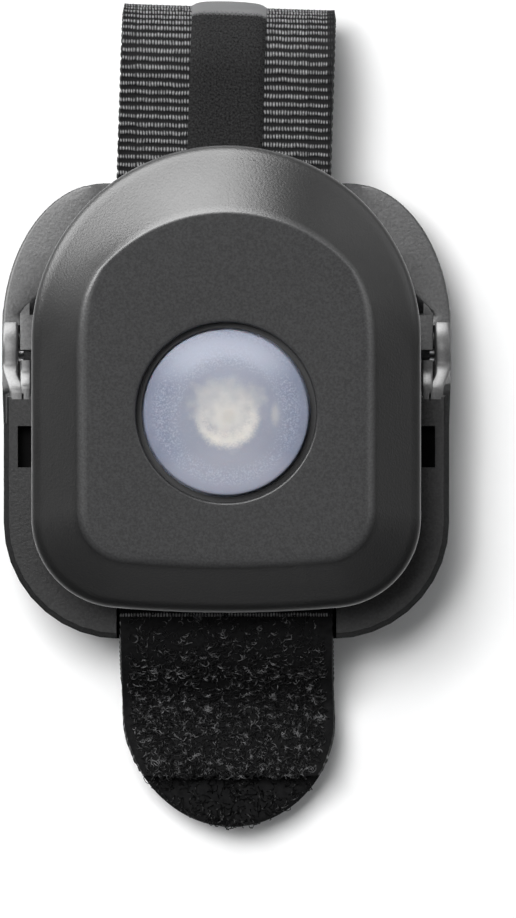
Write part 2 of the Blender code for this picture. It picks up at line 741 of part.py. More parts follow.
def ear(side):
    """Rounded ear of the cradle that carries one end of the pin."""
    low = FLANGE_SHOULDER_Y - EAR_ROOT
    under = CRADLE_BACK - EAR_PROUD
    over = CRADLE_FRONT - EAR_PROUD
    outline = [(low, under), (low, over)]
    for i in range(RISE_STEPS):
        share = i / RISE_STEPS
        drop = (1 - math.cos(math.pi * share)) / 2
        y = FLANGE_SHOULDER_Y + (EAR_RISE_Y - FLANGE_SHOULDER_Y) * share
        outline.append((y, over + (PIN_Z + EAR_RADIUS - over) * drop))
    for i in range(ROUND_STEPS + 1):
        a = math.pi / 2 - 1.5 * math.pi * i / ROUND_STEPS
        outline.append((PIN_Y + EAR_RADIUS * math.cos(a), PIN_Z + EAR_RADIUS * math.sin(a)))
    outline.append((PIN_Y - EAR_RADIUS, under))
    rings = [
        [Vector((side * x, y, z)) for y, z in outline] for x in (EAR_INNER, EAR_INNER + EAR_THICKNESS)
    ]
    return lofted(rings)


def cheek(side):
    """Thin sector inside one ear, round the barrel's end, that closes the view past it."""
    outline = []
    for radius, order in ((CHEEK_RADIUS, 1), (CHEEK_BORE, -1)):
        turns = [CHEEK_FROM + (CHEEK_TO - CHEEK_FROM) * i / CORNER_STEPS for i in range(CORNER_STEPS + 1)]
        for degrees in turns[::order]:
            a = math.radians(degrees)
            outline.append((PIN_Y + radius * math.cos(a), PIN_Z + radius * math.sin(a)))
    rings = []
    for x in (LAMP_HALF_WIDTH + LIP_INSIDE, EAR_INNER + EAR_THICKNESS / 2):
        rings.append([Vector((side * x, y, z)) for y, z in outline])
    return lofted(rings)


def cradle():
    """Tray behind the lamp: strap channel, grooves and windows for the lamp's lugs, and the pin's ears."""
    rings = [
        cradle_ring(0, CRADLE_BACK),
        cradle_ring(0, CRADLE_FRONT - FLANGE_CHAMFER),
        cradle_ring(FLANGE_CHAMFER, CRADLE_FRONT),
    ]
    tray = piece("cradle", lofted(rings), CRADLE_PLASTIC)
    for side, word in ((1, "right"), (-1, "left")):
        shape(tray, "UNION", piece(f"{word}_ear_tool", ear(side)))
        shape(tray, "UNION", piece(f"{word}_cheek_tool", cheek(side)))
        web = side_box(
            side,
            (LEG_INNER, FLANGE_SHOULDER_Y - MERGE, CRADLE_BACK + SEW_GAP / 4),
            (EAR_INNER + EAR_THICKNESS / 2, EAR_RISE_Y, CRADLE_BACK + POCKET_WEB - SEW_GAP / 4),
        )
        shape(tray, "UNION", piece(f"{word}_web_tool", web))
    half = STRAP_WIDTH / 2 + CHANNEL_SIDE
    far = CRADLE_TOP - FLANGE_BOTTOM
    above = CRADLE_FRONT + MERGE
    channel = box((-half, -far, CHANNEL_FLOOR), (half, far, above))
    shape(tray, "DIFFERENCE", piece("channel_tool", channel))
    notch = box((-half, -far, CRADLE_BACK + NOTCH_WEB), (half, CHANNEL_END, above))
    shape(tray, "DIFFERENCE", piece("notch_tool", notch))
    groove_top = LUG_TOP + 4 * GAP
    groove_low = LUG_TOP - LUG_LENGTH - RELEASE_TRAVEL - 3 * GAP
    roof = CRADLE_FRONT - LUG_ROOF
    pocket = CRADLE_BACK + POCKET_WEB
    for side, word in ((1, "right"), (-1, "left")):
        groove = side_box(
            side,
            (LEG_INNER - GAP, groove_low, pocket),
            (EAR_INNER, groove_top, roof),
        )
        shape(tray, "DIFFERENCE", piece(f"{word}_groove_tool", groove))
        slot = side_box(
            side,
            (LEG_INNER - GAP, groove_low, pocket + SEW_GAP),
            (LEG_OUTER + GAP, groove_top, above),
        )
        shape(tray, "DIFFERENCE", piece(f"{word}_slot_tool", slot))
        window = side_box(
            side,
            (LEG_INNER, groove_low + SEW_GAP, pocket + 2 * SEW_GAP),
            (EAR_INNER, groove_low + WINDOW_LENGTH, above),
        )
        shape(tray, "DIFFERENCE", piece(f"{word}_window_tool", window))
        reach = sorted((side * (EAR_INNER - MERGE), side * (EAR_INNER + EAR_THICKNESS + MERGE)))
        hole = cross_round(PIN_RADIUS + BORE_CLEARANCE, *reach)
        shape(tray, "DIFFERENCE", piece(f"{word}_pin_hole_tool", hole))


def handle_half_width(y):
    """Half width of the clip's handle, which narrows along its oval upper corners."""
    rise = max(0.0, y - (HANDLE_TOP - HANDLE_CORNER_LENGTH)) / HANDLE_CORNER_LENGTH
    return FLANGE_HALF_WIDTH - HANDLE_CORNER_WIDTH * (1 - math.sqrt(max(0.0, 1 - rise**2)))


def handle_front(y):
    """Height of the handle's front, which falls back towards its top."""
    start = PIN_Y + EAR_RADIUS + GAP
    return PIN_Z + HANDLE_RISE - HANDLE_FALL * (y - start) / (HANDLE_TOP - start)


def handle_lip(side):
    """Raised shoulder of the handle that covers one ear's round top."""
    inner = LAMP_HALF_WIDTH + LIP_INSIDE
    back = PIN_Z + SEW_GAP
    rings = []
    for i in range(CORNER_STEPS):
        share = i / (CORNER_STEPS - 1)
        y = LIP_START + (LIP_END - LIP_START) * share
        outer = handle_half_width(y) - SEW_GAP / 2
        front = LIP_FRONT + (handle_front(LIP_END) - SEW_GAP - LIP_FRONT) * share**2
        corners = ((inner, back), (outer, back), (outer, front), (inner, front))
        rings.append([Vector((side * x, y, z)) for x, z in corners])
    return lofted(rings)


def lever_section(y, half_width, back, front):
    corners = ((-half_width, back), (half_width, back), (half_width, front), (-half_width, front))
    return [Vector((x, y, z)) for x, z in corners]


def clip_lever():
    """Rear clip in one moulding: jaw, a wide yoke with barrels on the pin, and handle lobes above."""
    jaw_back = PIN_Z - JAW_DROP
    jaw_front = jaw_back + JAW_THICKNESS
    yoke = PIN_Y - EAR_RADIUS
    start = PIN_Y + EAR_RADIUS + GAP
    rings = []
    for i in range(CORNER_STEPS):
        a = math.pi / 2 * i / (CORNER_STEPS - 1)
        half = JAW_HALF_WIDTH - JAW_CORNER + JAW_CORNER * math.sin(a)
        rings.append(lever_section(JAW_END + JAW_CORNER * (1 - math.cos(a)), half, jaw_back, jaw_front))
    rings.append(lever_section(yoke - GAP / 2, JAW_HALF_WIDTH, jaw_back, jaw_front))
    rings.append(lever_section(yoke + GAP / 2, LAMP_HALF_WIDTH, jaw_back, jaw_front))
    rings.append(lever_section(start - GAP / 2, LAMP_HALF_WIDTH, jaw_back, jaw_front))
    length = HANDLE_TOP - start
    for i in range(ARCH_STEPS // 2 + 1):
        share = math.sin(math.pi / 2 * i / (ARCH_STEPS // 2))
        y = start + GAP / 2 + (length - GAP / 2) * share
        front = handle_front(y)
        rings.append(lever_section(y, handle_half_width(y), front - HANDLE_THICKNESS, front))
    lever = piece("clip_lever", lofted(rings), CRADLE_PLASTIC, CLIP_UNIT)
    for side, word in ((1, "right"), (-1, "left")):
        ends = sorted((side * (BARREL_END - BARREL_LENGTH), side * BARREL_END))
        shape(lever, "UNION", piece(f"{word}_barrel_tool", cross_round(BARREL_RADIUS, *ends)))
        lip = piece(f"{word}_lip_tool", handle_lip(side))
        inner = sorted((side * LAMP_HALF_WIDTH, side * (EAR_INNER - SEW_GAP)))
        outer = sorted((side * (EAR_INNER - GAP), side * (FLANGE_HALF_WIDTH + MERGE)))
        for radius, reach, word_of in ((CHEEK_RADIUS, inner, "cheek"), (EAR_RADIUS, outer, "ear")):
            relief = cross_round(radius + GAP, *reach, steps=2 * ROUND_STEPS)
            shape(lip, "DIFFERENCE", piece(f"{word}_{word_of}_relief_tool", relief))
        shape(lever, "UNION", lip)
    half = SPRING_PITCH * SPRING_COILED / 2 + SPRING_WIRE / 2 + WINDOW_SIDE
    window = box(
        (-half, PIN_Y - WINDOW_BELOW, jaw_back - BARREL_RADIUS),
        (half, PIN_Y + WINDOW_ABOVE, jaw_front + BARREL_RADIUS),
    )
    shape(lever, "DIFFERENCE", piece("spring_window_tool", window))
    bore = cross_round(PIN_RADIUS + BORE_CLEARANCE, -FLANGE_HALF_WIDTH, FLANGE_HALF_WIDTH)
    shape(lever, "DIFFERENCE", piece("lever_bore_tool", bore))
    pad = rounded_box(
        JAW_HALF_WIDTH - PAD_SIDE,
        JAW_END + PAD_SIDE,
        JAW_END + PAD_SIDE + PAD_LENGTH,
        JAW_CORNER - PAD_SIDE,
        jaw_front + SEW_GAP,
        CRADLE_BACK - GAP,
    )
    piece("jaw_pad", pad, BLACK_RUBBER, CLIP_UNIT)


def hinge_pin():
    """Steel pin through both ears and the lever's barrels."""
    reach = FLANGE_HALF_WIDTH + EAR_PROUD - PIN_RECESS
    piece("hinge_pin", cross_round(PIN_RADIUS, -reach, reach), STEEL)


def torsion_spring():
    """Wire coil round the pin: its upper leg bears on the cradle's back and its lower leg on the handle."""
    count = round(SPRING_COILED * SPRING_POINTS)
    coil = []
    for i in range(count + 1):
        turn = SPRING_COILED * i / count
        a = math.pi / 2 + 2 * math.pi * turn
        across = SPRING_PITCH * (turn - SPRING_COILED / 2)
        coil.append(PIN + Vector((across, SPRING_RADIUS * math.cos(a), SPRING_RADIUS * math.sin(a))))
    leave = math.pi / 2 + 2 * math.pi * SPRING_COILED
    away = Vector((0, -math.sin(leave), math.cos(leave)))
    knee = coil[-1] + away * ((PIN_Z + SPRING_RADIUS - GAP / 2 - coil[-1].z) / away.z)
    points = [coil[0] + Vector((0, SPRING_TOP_LEG, 0))] + coil
    points += [knee, knee + Vector((0, SPRING_LOW_LEG, -SPRING_LOW_LEG * SPRING_LEG_SLOPE))]
    least = min(
        (one - other).length for i, one in enumerate(coil) for other in coil[i + SPRING_POINTS // 2 :]
    )
    print(f"torsion_spring least gap to itself {1000 * (least - SPRING_WIRE):.2f} mm")
    curve = bpy.data.curves.new("torsion_spring", "CURVE")
    curve.dimensions = "3D"
    curve.bevel_depth = SPRING_WIRE / 2
    curve.bevel_resolution = 1
    curve.use_fill_caps = True
    spline = curve.splines.new("POLY")
    spline.points.add(len(points) - 1)
    for target, point in zip(spline.points, points):
        target.co = (*(point - PIN), 1)
    curve.materials.append(finish("torsion_spring", *STEEL))
    spring = bpy.data.objects.new("torsion_spring", curve)
    spring.location = PIN
    bpy.context.scene.collection.objects.link(spring)


def strap_route():
    """Middle line of the strap as (y, z, half width), from its front end round the fold to the tail's tip."""
    half = STRAP_WIDTH / 2
    round_y = STRAP_TAIL_TIP + half
    route = []
    for i in range(END_STEPS):
        y = STRAP_FRONT_END + (DROP_END - STRAP_FRONT_END) * i / END_STEPS
        route.append((y, STRAP_END_MID, math.sqrt(half**2 - min(0.0, y - round_y) ** 2)))
    for i in range(DROP_STEPS + 1):
        share = i / DROP_STEPS
        y = DROP_END + (DROP_START - DROP_END) * share
        rise = (1 - math.cos(math.pi * share)) / 2
        route.append((y, STRAP_END_MID + (STRAP_FRONT_MID - STRAP_END_MID) * rise, half))
    radius = (STRAP_FRONT_MID - STRAP_BACK_MID) / 2
    turn_y = STRAP_FOLD - radius - STRAP_THICKNESS / 2
    for y in (0.0, GRIP_START):
        route.append((y, STRAP_FRONT_MID, half))
    for i in range(FOLD_STEPS + 1):
        a = math.pi / 2 - math.pi * i / FOLD_STEPS
        route.append((turn_y + radius * math.cos(a), STRAP_BACK_MID + radius + radius * math.sin(a), half))
    for y in (0.0, HOOK_START):
        route.append((y, STRAP_BACK_MID, half))
    for i in range(TAIL_STEPS):
        a = math.radians(4 + 80 * i / (TAIL_STEPS - 1))
        route.append((STRAP_TAIL_TIP + half * (1 - math.sin(a)), STRAP_BACK_MID, half * math.cos(a)))
    route.append((STRAP_TAIL_TIP, STRAP_BACK_MID, half * math.cos(math.radians(87))))
    return route


def ribbon(route, low, high, narrower=0.0, width=None):
    """A flat band along part of the strap's route, between two heights over its middle line."""
    rings = []
    for i, (y, z, half) in enumerate(route):
        before = route[max(0, i - 1)]
        after = route[min(len(route) - 1, i + 1)]
        along = Vector((0, after[0] - before[0], after[1] - before[1])).normalized()
        up = Vector((0, -along.z, along.y))
        half = width if width else half - narrower
        middle = Vector((0, y, z))
        side = Vector((half, 0, 0))
        below = middle + up * low
        above = middle + up * high
        rings.append([below - side, below + side, above + side, above - side])
    return lofted(rings)


def strap():
    """Webbing with its grip strip, pile panel and hook patch."""
    route = strap_route()
    surface = STRAP_THICKNESS / 2
    piece("strap_band", ribbon(route, -surface, surface), WEBBING, STRAP_UNIT)
    low = surface + SEW_GAP
    fronts = END_STEPS + DROP_STEPS + 1
    grip_from = fronts + 1
    grip = ribbon(
        route[grip_from : grip_from + 2 + GRIP_TURN_STEPS],
        low,
        low + GRIP_THICKNESS,
        width=GRIP_HALF_WIDTH,
    )
    piece("grip_strip", grip, ((0.030, 0.030, 0.033), 0.45), STRAP_UNIT)
    drop = [stop for stop in route[:fronts] if stop[0] <= PILE_START]
    pile = ribbon(drop, low, low + PILE_HEIGHT, narrower=SEW_GAP)
    piece("loop_panel", pile, WEBBING, STRAP_UNIT)
    tail = [stop for stop in route[fronts:] if stop[0] <= HOOK_START and stop[2] > 2 * HOOK_MARGIN]
    hooks = ribbon(tail, -low, -low - HOOK_HEIGHT, narrower=HOOK_MARGIN)
    piece("hook_patch", hooks, ((0.012, 0.012, 0.013), 0.7), STRAP_UNIT)


front_shell()
rear_cover()
housing_gasket()
lens_button()
lens_rings()
light_engine()
electronics()
cover_screws()
port_plug()
cradle()
clip_lever()
hinge_pin()
torsion_spring()
strap()
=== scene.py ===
"""Finished look of a small strap-on lamp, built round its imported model.

Metres, +Z up. The lamp lies on its strap, its lens axis is the Z axis and +Y is the lamp's top.
"""

import random
from math import asin, atan, atan2, cos, dist, pi, radians, sin, sqrt

import bpy
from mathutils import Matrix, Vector


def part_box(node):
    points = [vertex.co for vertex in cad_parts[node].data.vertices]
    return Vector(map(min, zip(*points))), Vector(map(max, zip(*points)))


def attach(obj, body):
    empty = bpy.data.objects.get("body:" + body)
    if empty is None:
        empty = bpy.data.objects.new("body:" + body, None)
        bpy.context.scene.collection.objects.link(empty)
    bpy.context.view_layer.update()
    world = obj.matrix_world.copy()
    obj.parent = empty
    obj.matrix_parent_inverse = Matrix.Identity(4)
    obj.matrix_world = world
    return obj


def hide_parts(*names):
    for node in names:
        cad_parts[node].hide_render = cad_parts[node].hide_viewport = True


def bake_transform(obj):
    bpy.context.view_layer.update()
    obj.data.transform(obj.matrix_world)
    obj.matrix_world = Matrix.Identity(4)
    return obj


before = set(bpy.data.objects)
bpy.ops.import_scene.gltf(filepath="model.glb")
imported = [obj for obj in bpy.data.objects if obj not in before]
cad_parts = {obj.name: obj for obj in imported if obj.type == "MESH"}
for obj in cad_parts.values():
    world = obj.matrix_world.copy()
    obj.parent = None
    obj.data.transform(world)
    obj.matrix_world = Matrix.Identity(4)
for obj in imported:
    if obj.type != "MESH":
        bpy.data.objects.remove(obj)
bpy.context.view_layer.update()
MM = 0.001


# Stage: a sheet of pale paper, a broad key light up on the left, a weak light overhead, and two cards
# that only glossy pieces mirror, a long one beyond the lamp's top and one on the right. The camera
# looks straight down.
FLOOR_SIDE = 1.4
FLOOR_DROP = 0.05 * MM
CAMERA_PLACE = (2.99 * MM, -4.36 * MM, 1172 * MM)
CAMERA_LENS = 480
scene = bpy.context.scene


def fresh_material(name, roughness, **constants):
    """A material whose constants are set on its shader's own sockets."""
    material = bpy.data.materials.new(name)
    material.use_nodes = True
    shader = material.node_tree.nodes["Principled BSDF"]
    shader.inputs["Roughness"].default_value = roughness
    for socket, value in constants.items():
        shader.inputs[socket.replace("_", " ")].default_value = value
    return material, material.node_tree, shader


def add_node(tree, kind, values=None, **settings):
    """A shader node with its settings, its inputs set to values or linked to sockets."""
    node = tree.nodes.new("ShaderNode" + kind)
    for name, setting in settings.items():
        setattr(node, name, setting)
    for socket, value in (values or {}).items():
        if isinstance(value, bpy.types.NodeSocket):
            tree.links.new(value, node.inputs[socket])
        else:
            node.inputs[socket].default_value = value
    return node


def link(socket, target):
    socket.id_data.links.new(socket, target)


def two_tone(mask, dark, light):
    """A colour that goes from dark to light with a mask."""
    colours = {0: mask, 6: (*dark, 1), 7: (*light, 1)}
    return add_node(mask.id_data, "Mix", colours, data_type="RGBA").outputs[2]


def softbox(name, place, aim, size, power, mirrored_only=False):
    """A flat light that faces its aim, or a card that is only seen mirrored in glossy things."""
    light = bpy.data.lights.new(name, "AREA")
    light.shape = "RECTANGLE"
    light.size, light.size_y = size
    light.energy = power
    lamp = bpy.data.objects.new(name, light)
    lamp.location = place
    lamp.rotation_euler = (Vector(aim) - Vector(place)).to_track_quat("-Z", "Y").to_euler()
    lamp.visible_diffuse = not mirrored_only
    scene.collection.objects.link(lamp)


bpy.ops.mesh.primitive_plane_add(size=FLOOR_SIDE, location=(0, 0, -FLOOR_DROP))
paper_floor = bpy.context.object
paper_floor.name = "paper_floor"
bpy.ops.object.transform_apply(location=True, rotation=False, scale=False)
paper, paper_tree, paper_shader = fresh_material("pale_paper", 0.7)
paper_fibre = add_node(paper_tree, "TexNoise", {"Scale": 900.0, "Detail": 4.0})
paper_colour = two_tone(paper_fibre.outputs[0], (0.95, 0.95, 0.95), (0.97, 0.97, 0.97))
link(paper_colour, paper_shader.inputs["Base Color"])
paper_floor.data.materials.append(paper)

softbox("key_light", (-0.22, 0.24, 1.0), (0, 0, 0), (0.42, 0.42), 11)
softbox("overhead_light", (0.05, 0.10, 1.6), (0, 0, 0), (0.8, 0.8), 1.6)
softbox("top_card", (-0.36, 0.62, 0.34), (0, 0.01, 0.02), (1.25, 0.5), 42, mirrored_only=True)
softbox("right_card", (0.62, 0.40, 0.45), (0, 0, 0.02), (0.8, 0.8), 6.2, mirrored_only=True)
world = bpy.data.worlds.new("studio")
world.use_nodes = True
sky = world.node_tree.nodes["Background"].inputs
sky["Color"].default_value = (0.96, 0.98, 1.0, 1)
sky["Strength"].default_value = 0.15
scene.world = world
scene.view_settings.view_transform = "Standard"

camera_data = bpy.data.cameras.new("camera")
camera_data.lens = CAMERA_LENS
camera = bpy.data.objects.new("camera", camera_data)
camera.location = CAMERA_PLACE
scene.collection.objects.link(camera)
scene.camera = camera


# Insides of the lamp: foam pad and flat cell at the back, the board with its chip, tact switch,
# charging socket, emitter and white cup. They are bought-in pieces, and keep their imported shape.
def place_in(tree, kind="Object"):
    """Where a point of the surface lies, on the object or on its UV map."""
    return add_node(tree, "TexCoord").outputs[kind]


def noise(place, scale, detail, roughness=0.5):
    """Wandering values with a given number of waves per unit of a place."""
    values = {"Vector": place, "Scale": scale, "Detail": detail, "Roughness": roughness}
    return add_node(place.id_data, "TexNoise", values).outputs[0]


def surfaced(shader, colour, height, strength, depth):
    """Gives a shader its colour and a fine relief."""
    values = {"Height": height, "Strength": strength, "Distance": depth}
    relief = add_node(shader.id_data, "Bump", values)
    link(colour, shader.inputs["Base Color"])
    link(relief.outputs[0], shader.inputs["Normal"])


def speckled_material(name, dark, light, scale, roughness, **constants):
    """A finish that wanders between two shades in specks of a given number per metre."""
    material, tree, shader = fresh_material(name, roughness, **constants)
    specks = noise(place_in(tree), scale, 3.0)
    surfaced(shader, two_tone(specks, dark, light), specks, 0.3, 0.02 * MM)
    return material


def repaint(nodes, *look, **constants):
    """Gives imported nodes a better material."""
    material = speckled_material(*look, **constants)
    for node in nodes:
        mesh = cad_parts[node].data
        mesh.materials.clear()
        mesh.materials.append(material)


repaint(["battery_pad"], "foam", (0.03, 0.03, 0.03), (0.07, 0.07, 0.07), 4000.0, 0.95)
repaint(["battery_cell"], "cell_foil", (0.45, 0.46, 0.48), (0.62, 0.63, 0.65), 300.0, 0.35, Metallic=0.7)
repaint(["main_board"], "board_green", (0.01, 0.10, 0.05), (0.03, 0.17, 0.09), 2500.0, 0.4)
black_nodes = ["controller_chip", "switch_body", "lens_retainer"]
repaint(black_nodes, "chip_black", (0.012, 0.012, 0.013), (0.03, 0.03, 0.032), 6000.0, 0.5)
white_nodes = ["switch_plunger", "reflector_cup"]
repaint(white_nodes, "white_resin", (0.70, 0.70, 0.68), (0.80, 0.80, 0.78), 3000.0, 0.4)
repaint(["led_emitter"], "phosphor", (0.72, 0.55, 0.22), (0.85, 0.68, 0.34), 5000.0, 0.5)
steel_nodes = ["charge_socket"]
repaint(steel_nodes, "plated_steel", (0.50, 0.50, 0.51), (0.66, 0.66, 0.67), 1500.0, 0.32, Metallic=1.0)


# Rubber rings: the flat gasket between tub and front, and the seal round the lens. Both are cut
# from black silicone sheet and lie clamped, out of sight but for the dark gap round the lens.
rubber_nodes = ["housing_gasket", "lens_seal"]
repaint(rubber_nodes, "seal_rubber", (0.010, 0.010, 0.011), (0.022, 0.022, 0.023), 2500.0, 0.7)


# Rear cover: the tub that closes the lamp from behind, moulded in dark grey plastic with a fine
# spark-eroded skin. Its edges have the small radius of the mould, and two lugs hook the cradle.
COVER_EDGE = 0.18 * MM
MERGED = 0.001 * MM
ROUGH_SWING = 0.05


def reckon(operation, *values, **settings):
    """The result of a sum on values and sockets."""
    tree = next(value.id_data for value in values if isinstance(value, bpy.types.NodeSocket))
    return add_node(tree, "Math", dict(enumerate(values)), operation=operation, **settings).outputs[0]


def remapped(value, start, end, low=0.0, high=1.0, **settings):
    """A value stretched so that start and end become low and high."""
    values = {"Value": value, "From Min": start, "From Max": end, "To Min": low, "To Max": high}
    return add_node(value.id_data, "MapRange", values, **settings).outputs[0]


def new_group(name, given, made):
    """An empty shader node group, with the sockets of what it is given and what it makes."""
    tree = bpy.data.node_groups.new(name, "ShaderNodeTree")
    for words, way in ((given, "INPUT"), (made, "OUTPUT")):
        for word in words:
            tree.interface.new_socket(word, in_out=way, socket_type="NodeSocketFloat")
    return tree, tree.nodes.new("NodeGroupInput").outputs, tree.nodes.new("NodeGroupOutput").inputs


def grain_group():
    """Skin of a spark-eroded mould: its height, fine specks and broad clouds."""
    tree, given, made = new_group("moulded_grain", ["Grain"], ["Height", "Specks", "Clouds"])
    place = place_in(tree)
    pits = add_node(tree, "TexVoronoi", {"Vector": place, "Scale": given["Grain"]}, feature="SMOOTH_F1")
    bumps = noise(place, given["Grain"], 2.0, 0.6)
    link(reckon("MULTIPLY_ADD", pits.outputs["Distance"], 0.6, bumps), made["Height"])
    link(remapped(bumps, 0.35, 0.65), made["Specks"])
    link(noise(place, 160.0, 2.0), made["Clouds"])
    return tree


MOULDED_GRAIN = grain_group()


def moulded_plastic(name, dark, light, gloss, roughness, grain, depth):
    """Dark moulded plastic: grain in the height, specks in the colour, and clouds in the roughness."""
    material, tree, shader = fresh_material(name, roughness, Specular_IOR_Level=gloss)
    skin = add_node(tree, "Group", {"Grain": grain}, node_tree=MOULDED_GRAIN).outputs
    rough = remapped(skin["Clouds"], 0.0, 1.0, roughness - ROUGH_SWING, roughness + ROUGH_SWING)
    link(rough, shader.inputs["Roughness"])
    surfaced(shader, two_tone(skin["Specks"], dark, light), skin["Height"], 0.6, depth)
    return material


def pick(thing, *others):
    """Selects a thing and any others, and makes it the active one."""
    bpy.ops.object.select_all(action="DESELECT")
    for part in (thing, *others):
        part.select_set(True)
    bpy.context.view_layer.objects.active = thing


def edit(thing):
    """Opens a mesh for editing, with all of it selected."""
    pick(thing)
    bpy.ops.object.mode_set(mode="EDIT")
    bpy.ops.mesh.select_all(action="SELECT")


def smooth(thing, degrees):
    """Smooth shading, but for edges sharper than an angle."""
    pick(thing)
    bpy.ops.object.shade_smooth_by_angle(angle=radians(degrees))


def rounded_copy(node, name, edge, material):
    """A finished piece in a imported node's place: flat faces joined and edges rounded."""
    thing = bpy.data.objects.new(name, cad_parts[node].data.copy())
    scene.collection.objects.link(thing)
    edit(thing)
    bpy.ops.mesh.remove_doubles(threshold=MERGED)
    bpy.ops.mesh.dissolve_limited(angle_limit=radians(1))
    bpy.ops.object.mode_set(mode="OBJECT")
    bpy.ops.object.shade_smooth()
    rounding = thing.modifiers.new("rounded_edges", "BEVEL")
    rounding.width = edge
    rounding.segments = 3
    rounding.limit_method = "ANGLE"
    rounding.angle_limit = radians(38)
    bpy.ops.object.modifier_apply(modifier=rounding.name)
    flattening = thing.modifiers.new("flat_faces", "WEIGHTED_NORMAL")
    flattening.weight = 100
    bpy.ops.object.modifier_apply(modifier=flattening.name)
    thing.data.materials.clear()
    thing.data.materials.append(material)
    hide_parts(node)
    return thing


SHELL_PLASTIC = moulded_plastic(
    "shell_plastic", (0.0095, 0.0095, 0.0097), (0.020, 0.020, 0.0205), 0.3, 0.35, 4800.0, 0.02 * MM
)
rear_tub = rounded_copy("rear_cover", "rear_tub", COVER_EDGE, SHELL_PLASTIC)
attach(rear_tub, "lamp")


# Lens: a round push button of milky polycarbonate, crowned, with a shallow dish in the middle over
# the emitter. Its colour shows the cup and the warm phosphor blurred behind the frost, with painted
# light laid on it: a lighter top and bottom, a bright crescent low on the warm disc and painted
# glints in the frost. Its skirt runs down in the recess to a flange under the seal.
LENS_LOW, LENS_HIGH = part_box("lens_button")
LENS_RADIUS = 7.75 * MM
LENS_SOFT_EDGE = 0.31 * MM
LENS_CROWN = 0.6 * MM
LENS_EDGE_Z = LENS_HIGH.z - LENS_CROWN
LENS_BORE = 6.5 * MM
LENS_CEILING_RADIUS = LENS_BORE * 0.95
LENS_CEILING = LENS_HIGH.z - 2.0 * MM
LENS_FLANGE_RADIUS = 9.15 * MM
LENS_FLANGE = 0.8 * MM
LENS_SHOULDER = LENS_RADIUS - LENS_SOFT_EDGE
DISH_RADIUS = 2.6 * MM
DISH_SIDE = 2.2 * MM
DISH_DEPTH = 0.13 * MM
LENS_STEPS = 96
LENS_ROWS = 31
LENS_EDGE_STEPS = 4
EDGE_TURN = radians(80)
FROST_SCALE = 5600.0


def face_out(thing):
    """Turns all of a mesh's faces outward."""
    edit(thing)
    bpy.ops.mesh.normals_make_consistent(inside=False)
    bpy.ops.object.mode_set(mode="OBJECT")


def grid_of(name, rows):
    """A grid of faces laid through rows of points."""
    bpy.ops.mesh.primitive_grid_add(x_subdivisions=len(rows[0]) - 1, y_subdivisions=len(rows) - 1)
    thing = bpy.context.object
    thing.name = thing.data.name = name
    values = [value for row in rows for point in row for value in point]
    thing.data.vertices.foreach_set("co", values)
    return thing


def skinned(name, rings, degrees, material, tube=False):
    """A smooth piece laid through rings of points and closed at its ends."""
    rows = rings + rings[:1] if tube else rings
    thing = grid_of(name, [[*ring, ring[0]] for ring in rows])
    edit(thing)
    bpy.ops.mesh.remove_doubles(threshold=MERGED)
    if not tube:
        bpy.ops.mesh.fill_holes(sides=0)
    bpy.ops.object.mode_set(mode="OBJECT")
    face_out(thing)
    smooth(thing, degrees)
    thing.data.materials.append(material)
    return thing


def spaced(start, end, steps):
    """Values from start to end in equal steps, with both ends."""
    return [start + (end - start) * i / steps for i in range(steps + 1)]


def arc(x, y, radius, start, end, steps):
    """Points round a centre from one angle to another."""
    return [(x + radius * cos(a), y + radius * sin(a)) for a in spaced(start, end, steps)]


def eased(share):
    """A share held between 0 and 1 that starts and ends gently."""
    share = min(1.0, max(0.0, share))
    return share * share * (3 - 2 * share)


def without(mask, other):
    """What is left of one mask outside another."""
    return reckon("SUBTRACT", mask, other, use_clamp=True)


def laid_over(below, mask, colour, share):
    """A colour laid over another, as strongly as a share of a mask."""
    amount = reckon("MULTIPLY", mask, share)
    colours = {0: amount, 6: below, 7: (*colour, 1)}
    return add_node(mask.id_data, "Mix", colours, data_type="RGBA").outputs[2]


lens_profile = [
    (LENS_CEILING_RADIUS, LENS_CEILING),
    (LENS_BORE, LENS_CEILING - LENS_SOFT_EDGE),
    (LENS_BORE, LENS_LOW.z),
    (LENS_FLANGE_RADIUS, LENS_LOW.z),
    (LENS_FLANGE_RADIUS, LENS_LOW.z + LENS_FLANGE),
    (LENS_RADIUS, LENS_LOW.z + LENS_FLANGE),
]
lens_profile += arc(
    LENS_SHOULDER, LENS_EDGE_Z - LENS_SOFT_EDGE, LENS_SOFT_EDGE, 0, EDGE_TURN, LENS_EDGE_STEPS
)
for share in spaced(1, 0, LENS_ROWS)[1:-1]:
    dish = DISH_DEPTH * eased((DISH_RADIUS + DISH_SIDE - LENS_SHOULDER * share) / DISH_SIDE)
    lens_profile.append((LENS_SHOULDER * share, LENS_EDGE_Z + LENS_CROWN * (1 - share * share) - dish))
lens_look, lens_tree, lens_shader = fresh_material(
    "milky_lens", 0.34, Subsurface_Weight=0.12, Subsurface_Scale=0.4 * MM
)
lens_place = place_in(lens_tree)
frost = noise(lens_place, FROST_SCALE, 3.0, 0.7)
haze = noise(lens_place, FROST_SCALE / 6, 2.0)


def patch(centre, radius, soft, stretch=(1, 1), edge=frost):
    """A mask of a round patch of the lens, in millimetres, that fades out over a frosted edge."""
    shift = (-centre[0] * stretch[0] * MM, -centre[1] * stretch[1] * MM, 0)
    values = {"Vector": lens_place, "Location": shift, "Scale": (*stretch, 0)}
    flat = add_node(lens_tree, "Mapping", values).outputs[0]
    reach = add_node(lens_tree, "VectorMath", {0: flat}, operation="LENGTH").outputs["Value"]
    ragged = reckon("MULTIPLY_ADD", edge, soft * MM, reach)
    return remapped(ragged, (radius + soft) * MM, radius * MM, interpolation_type="SMOOTHSTEP")
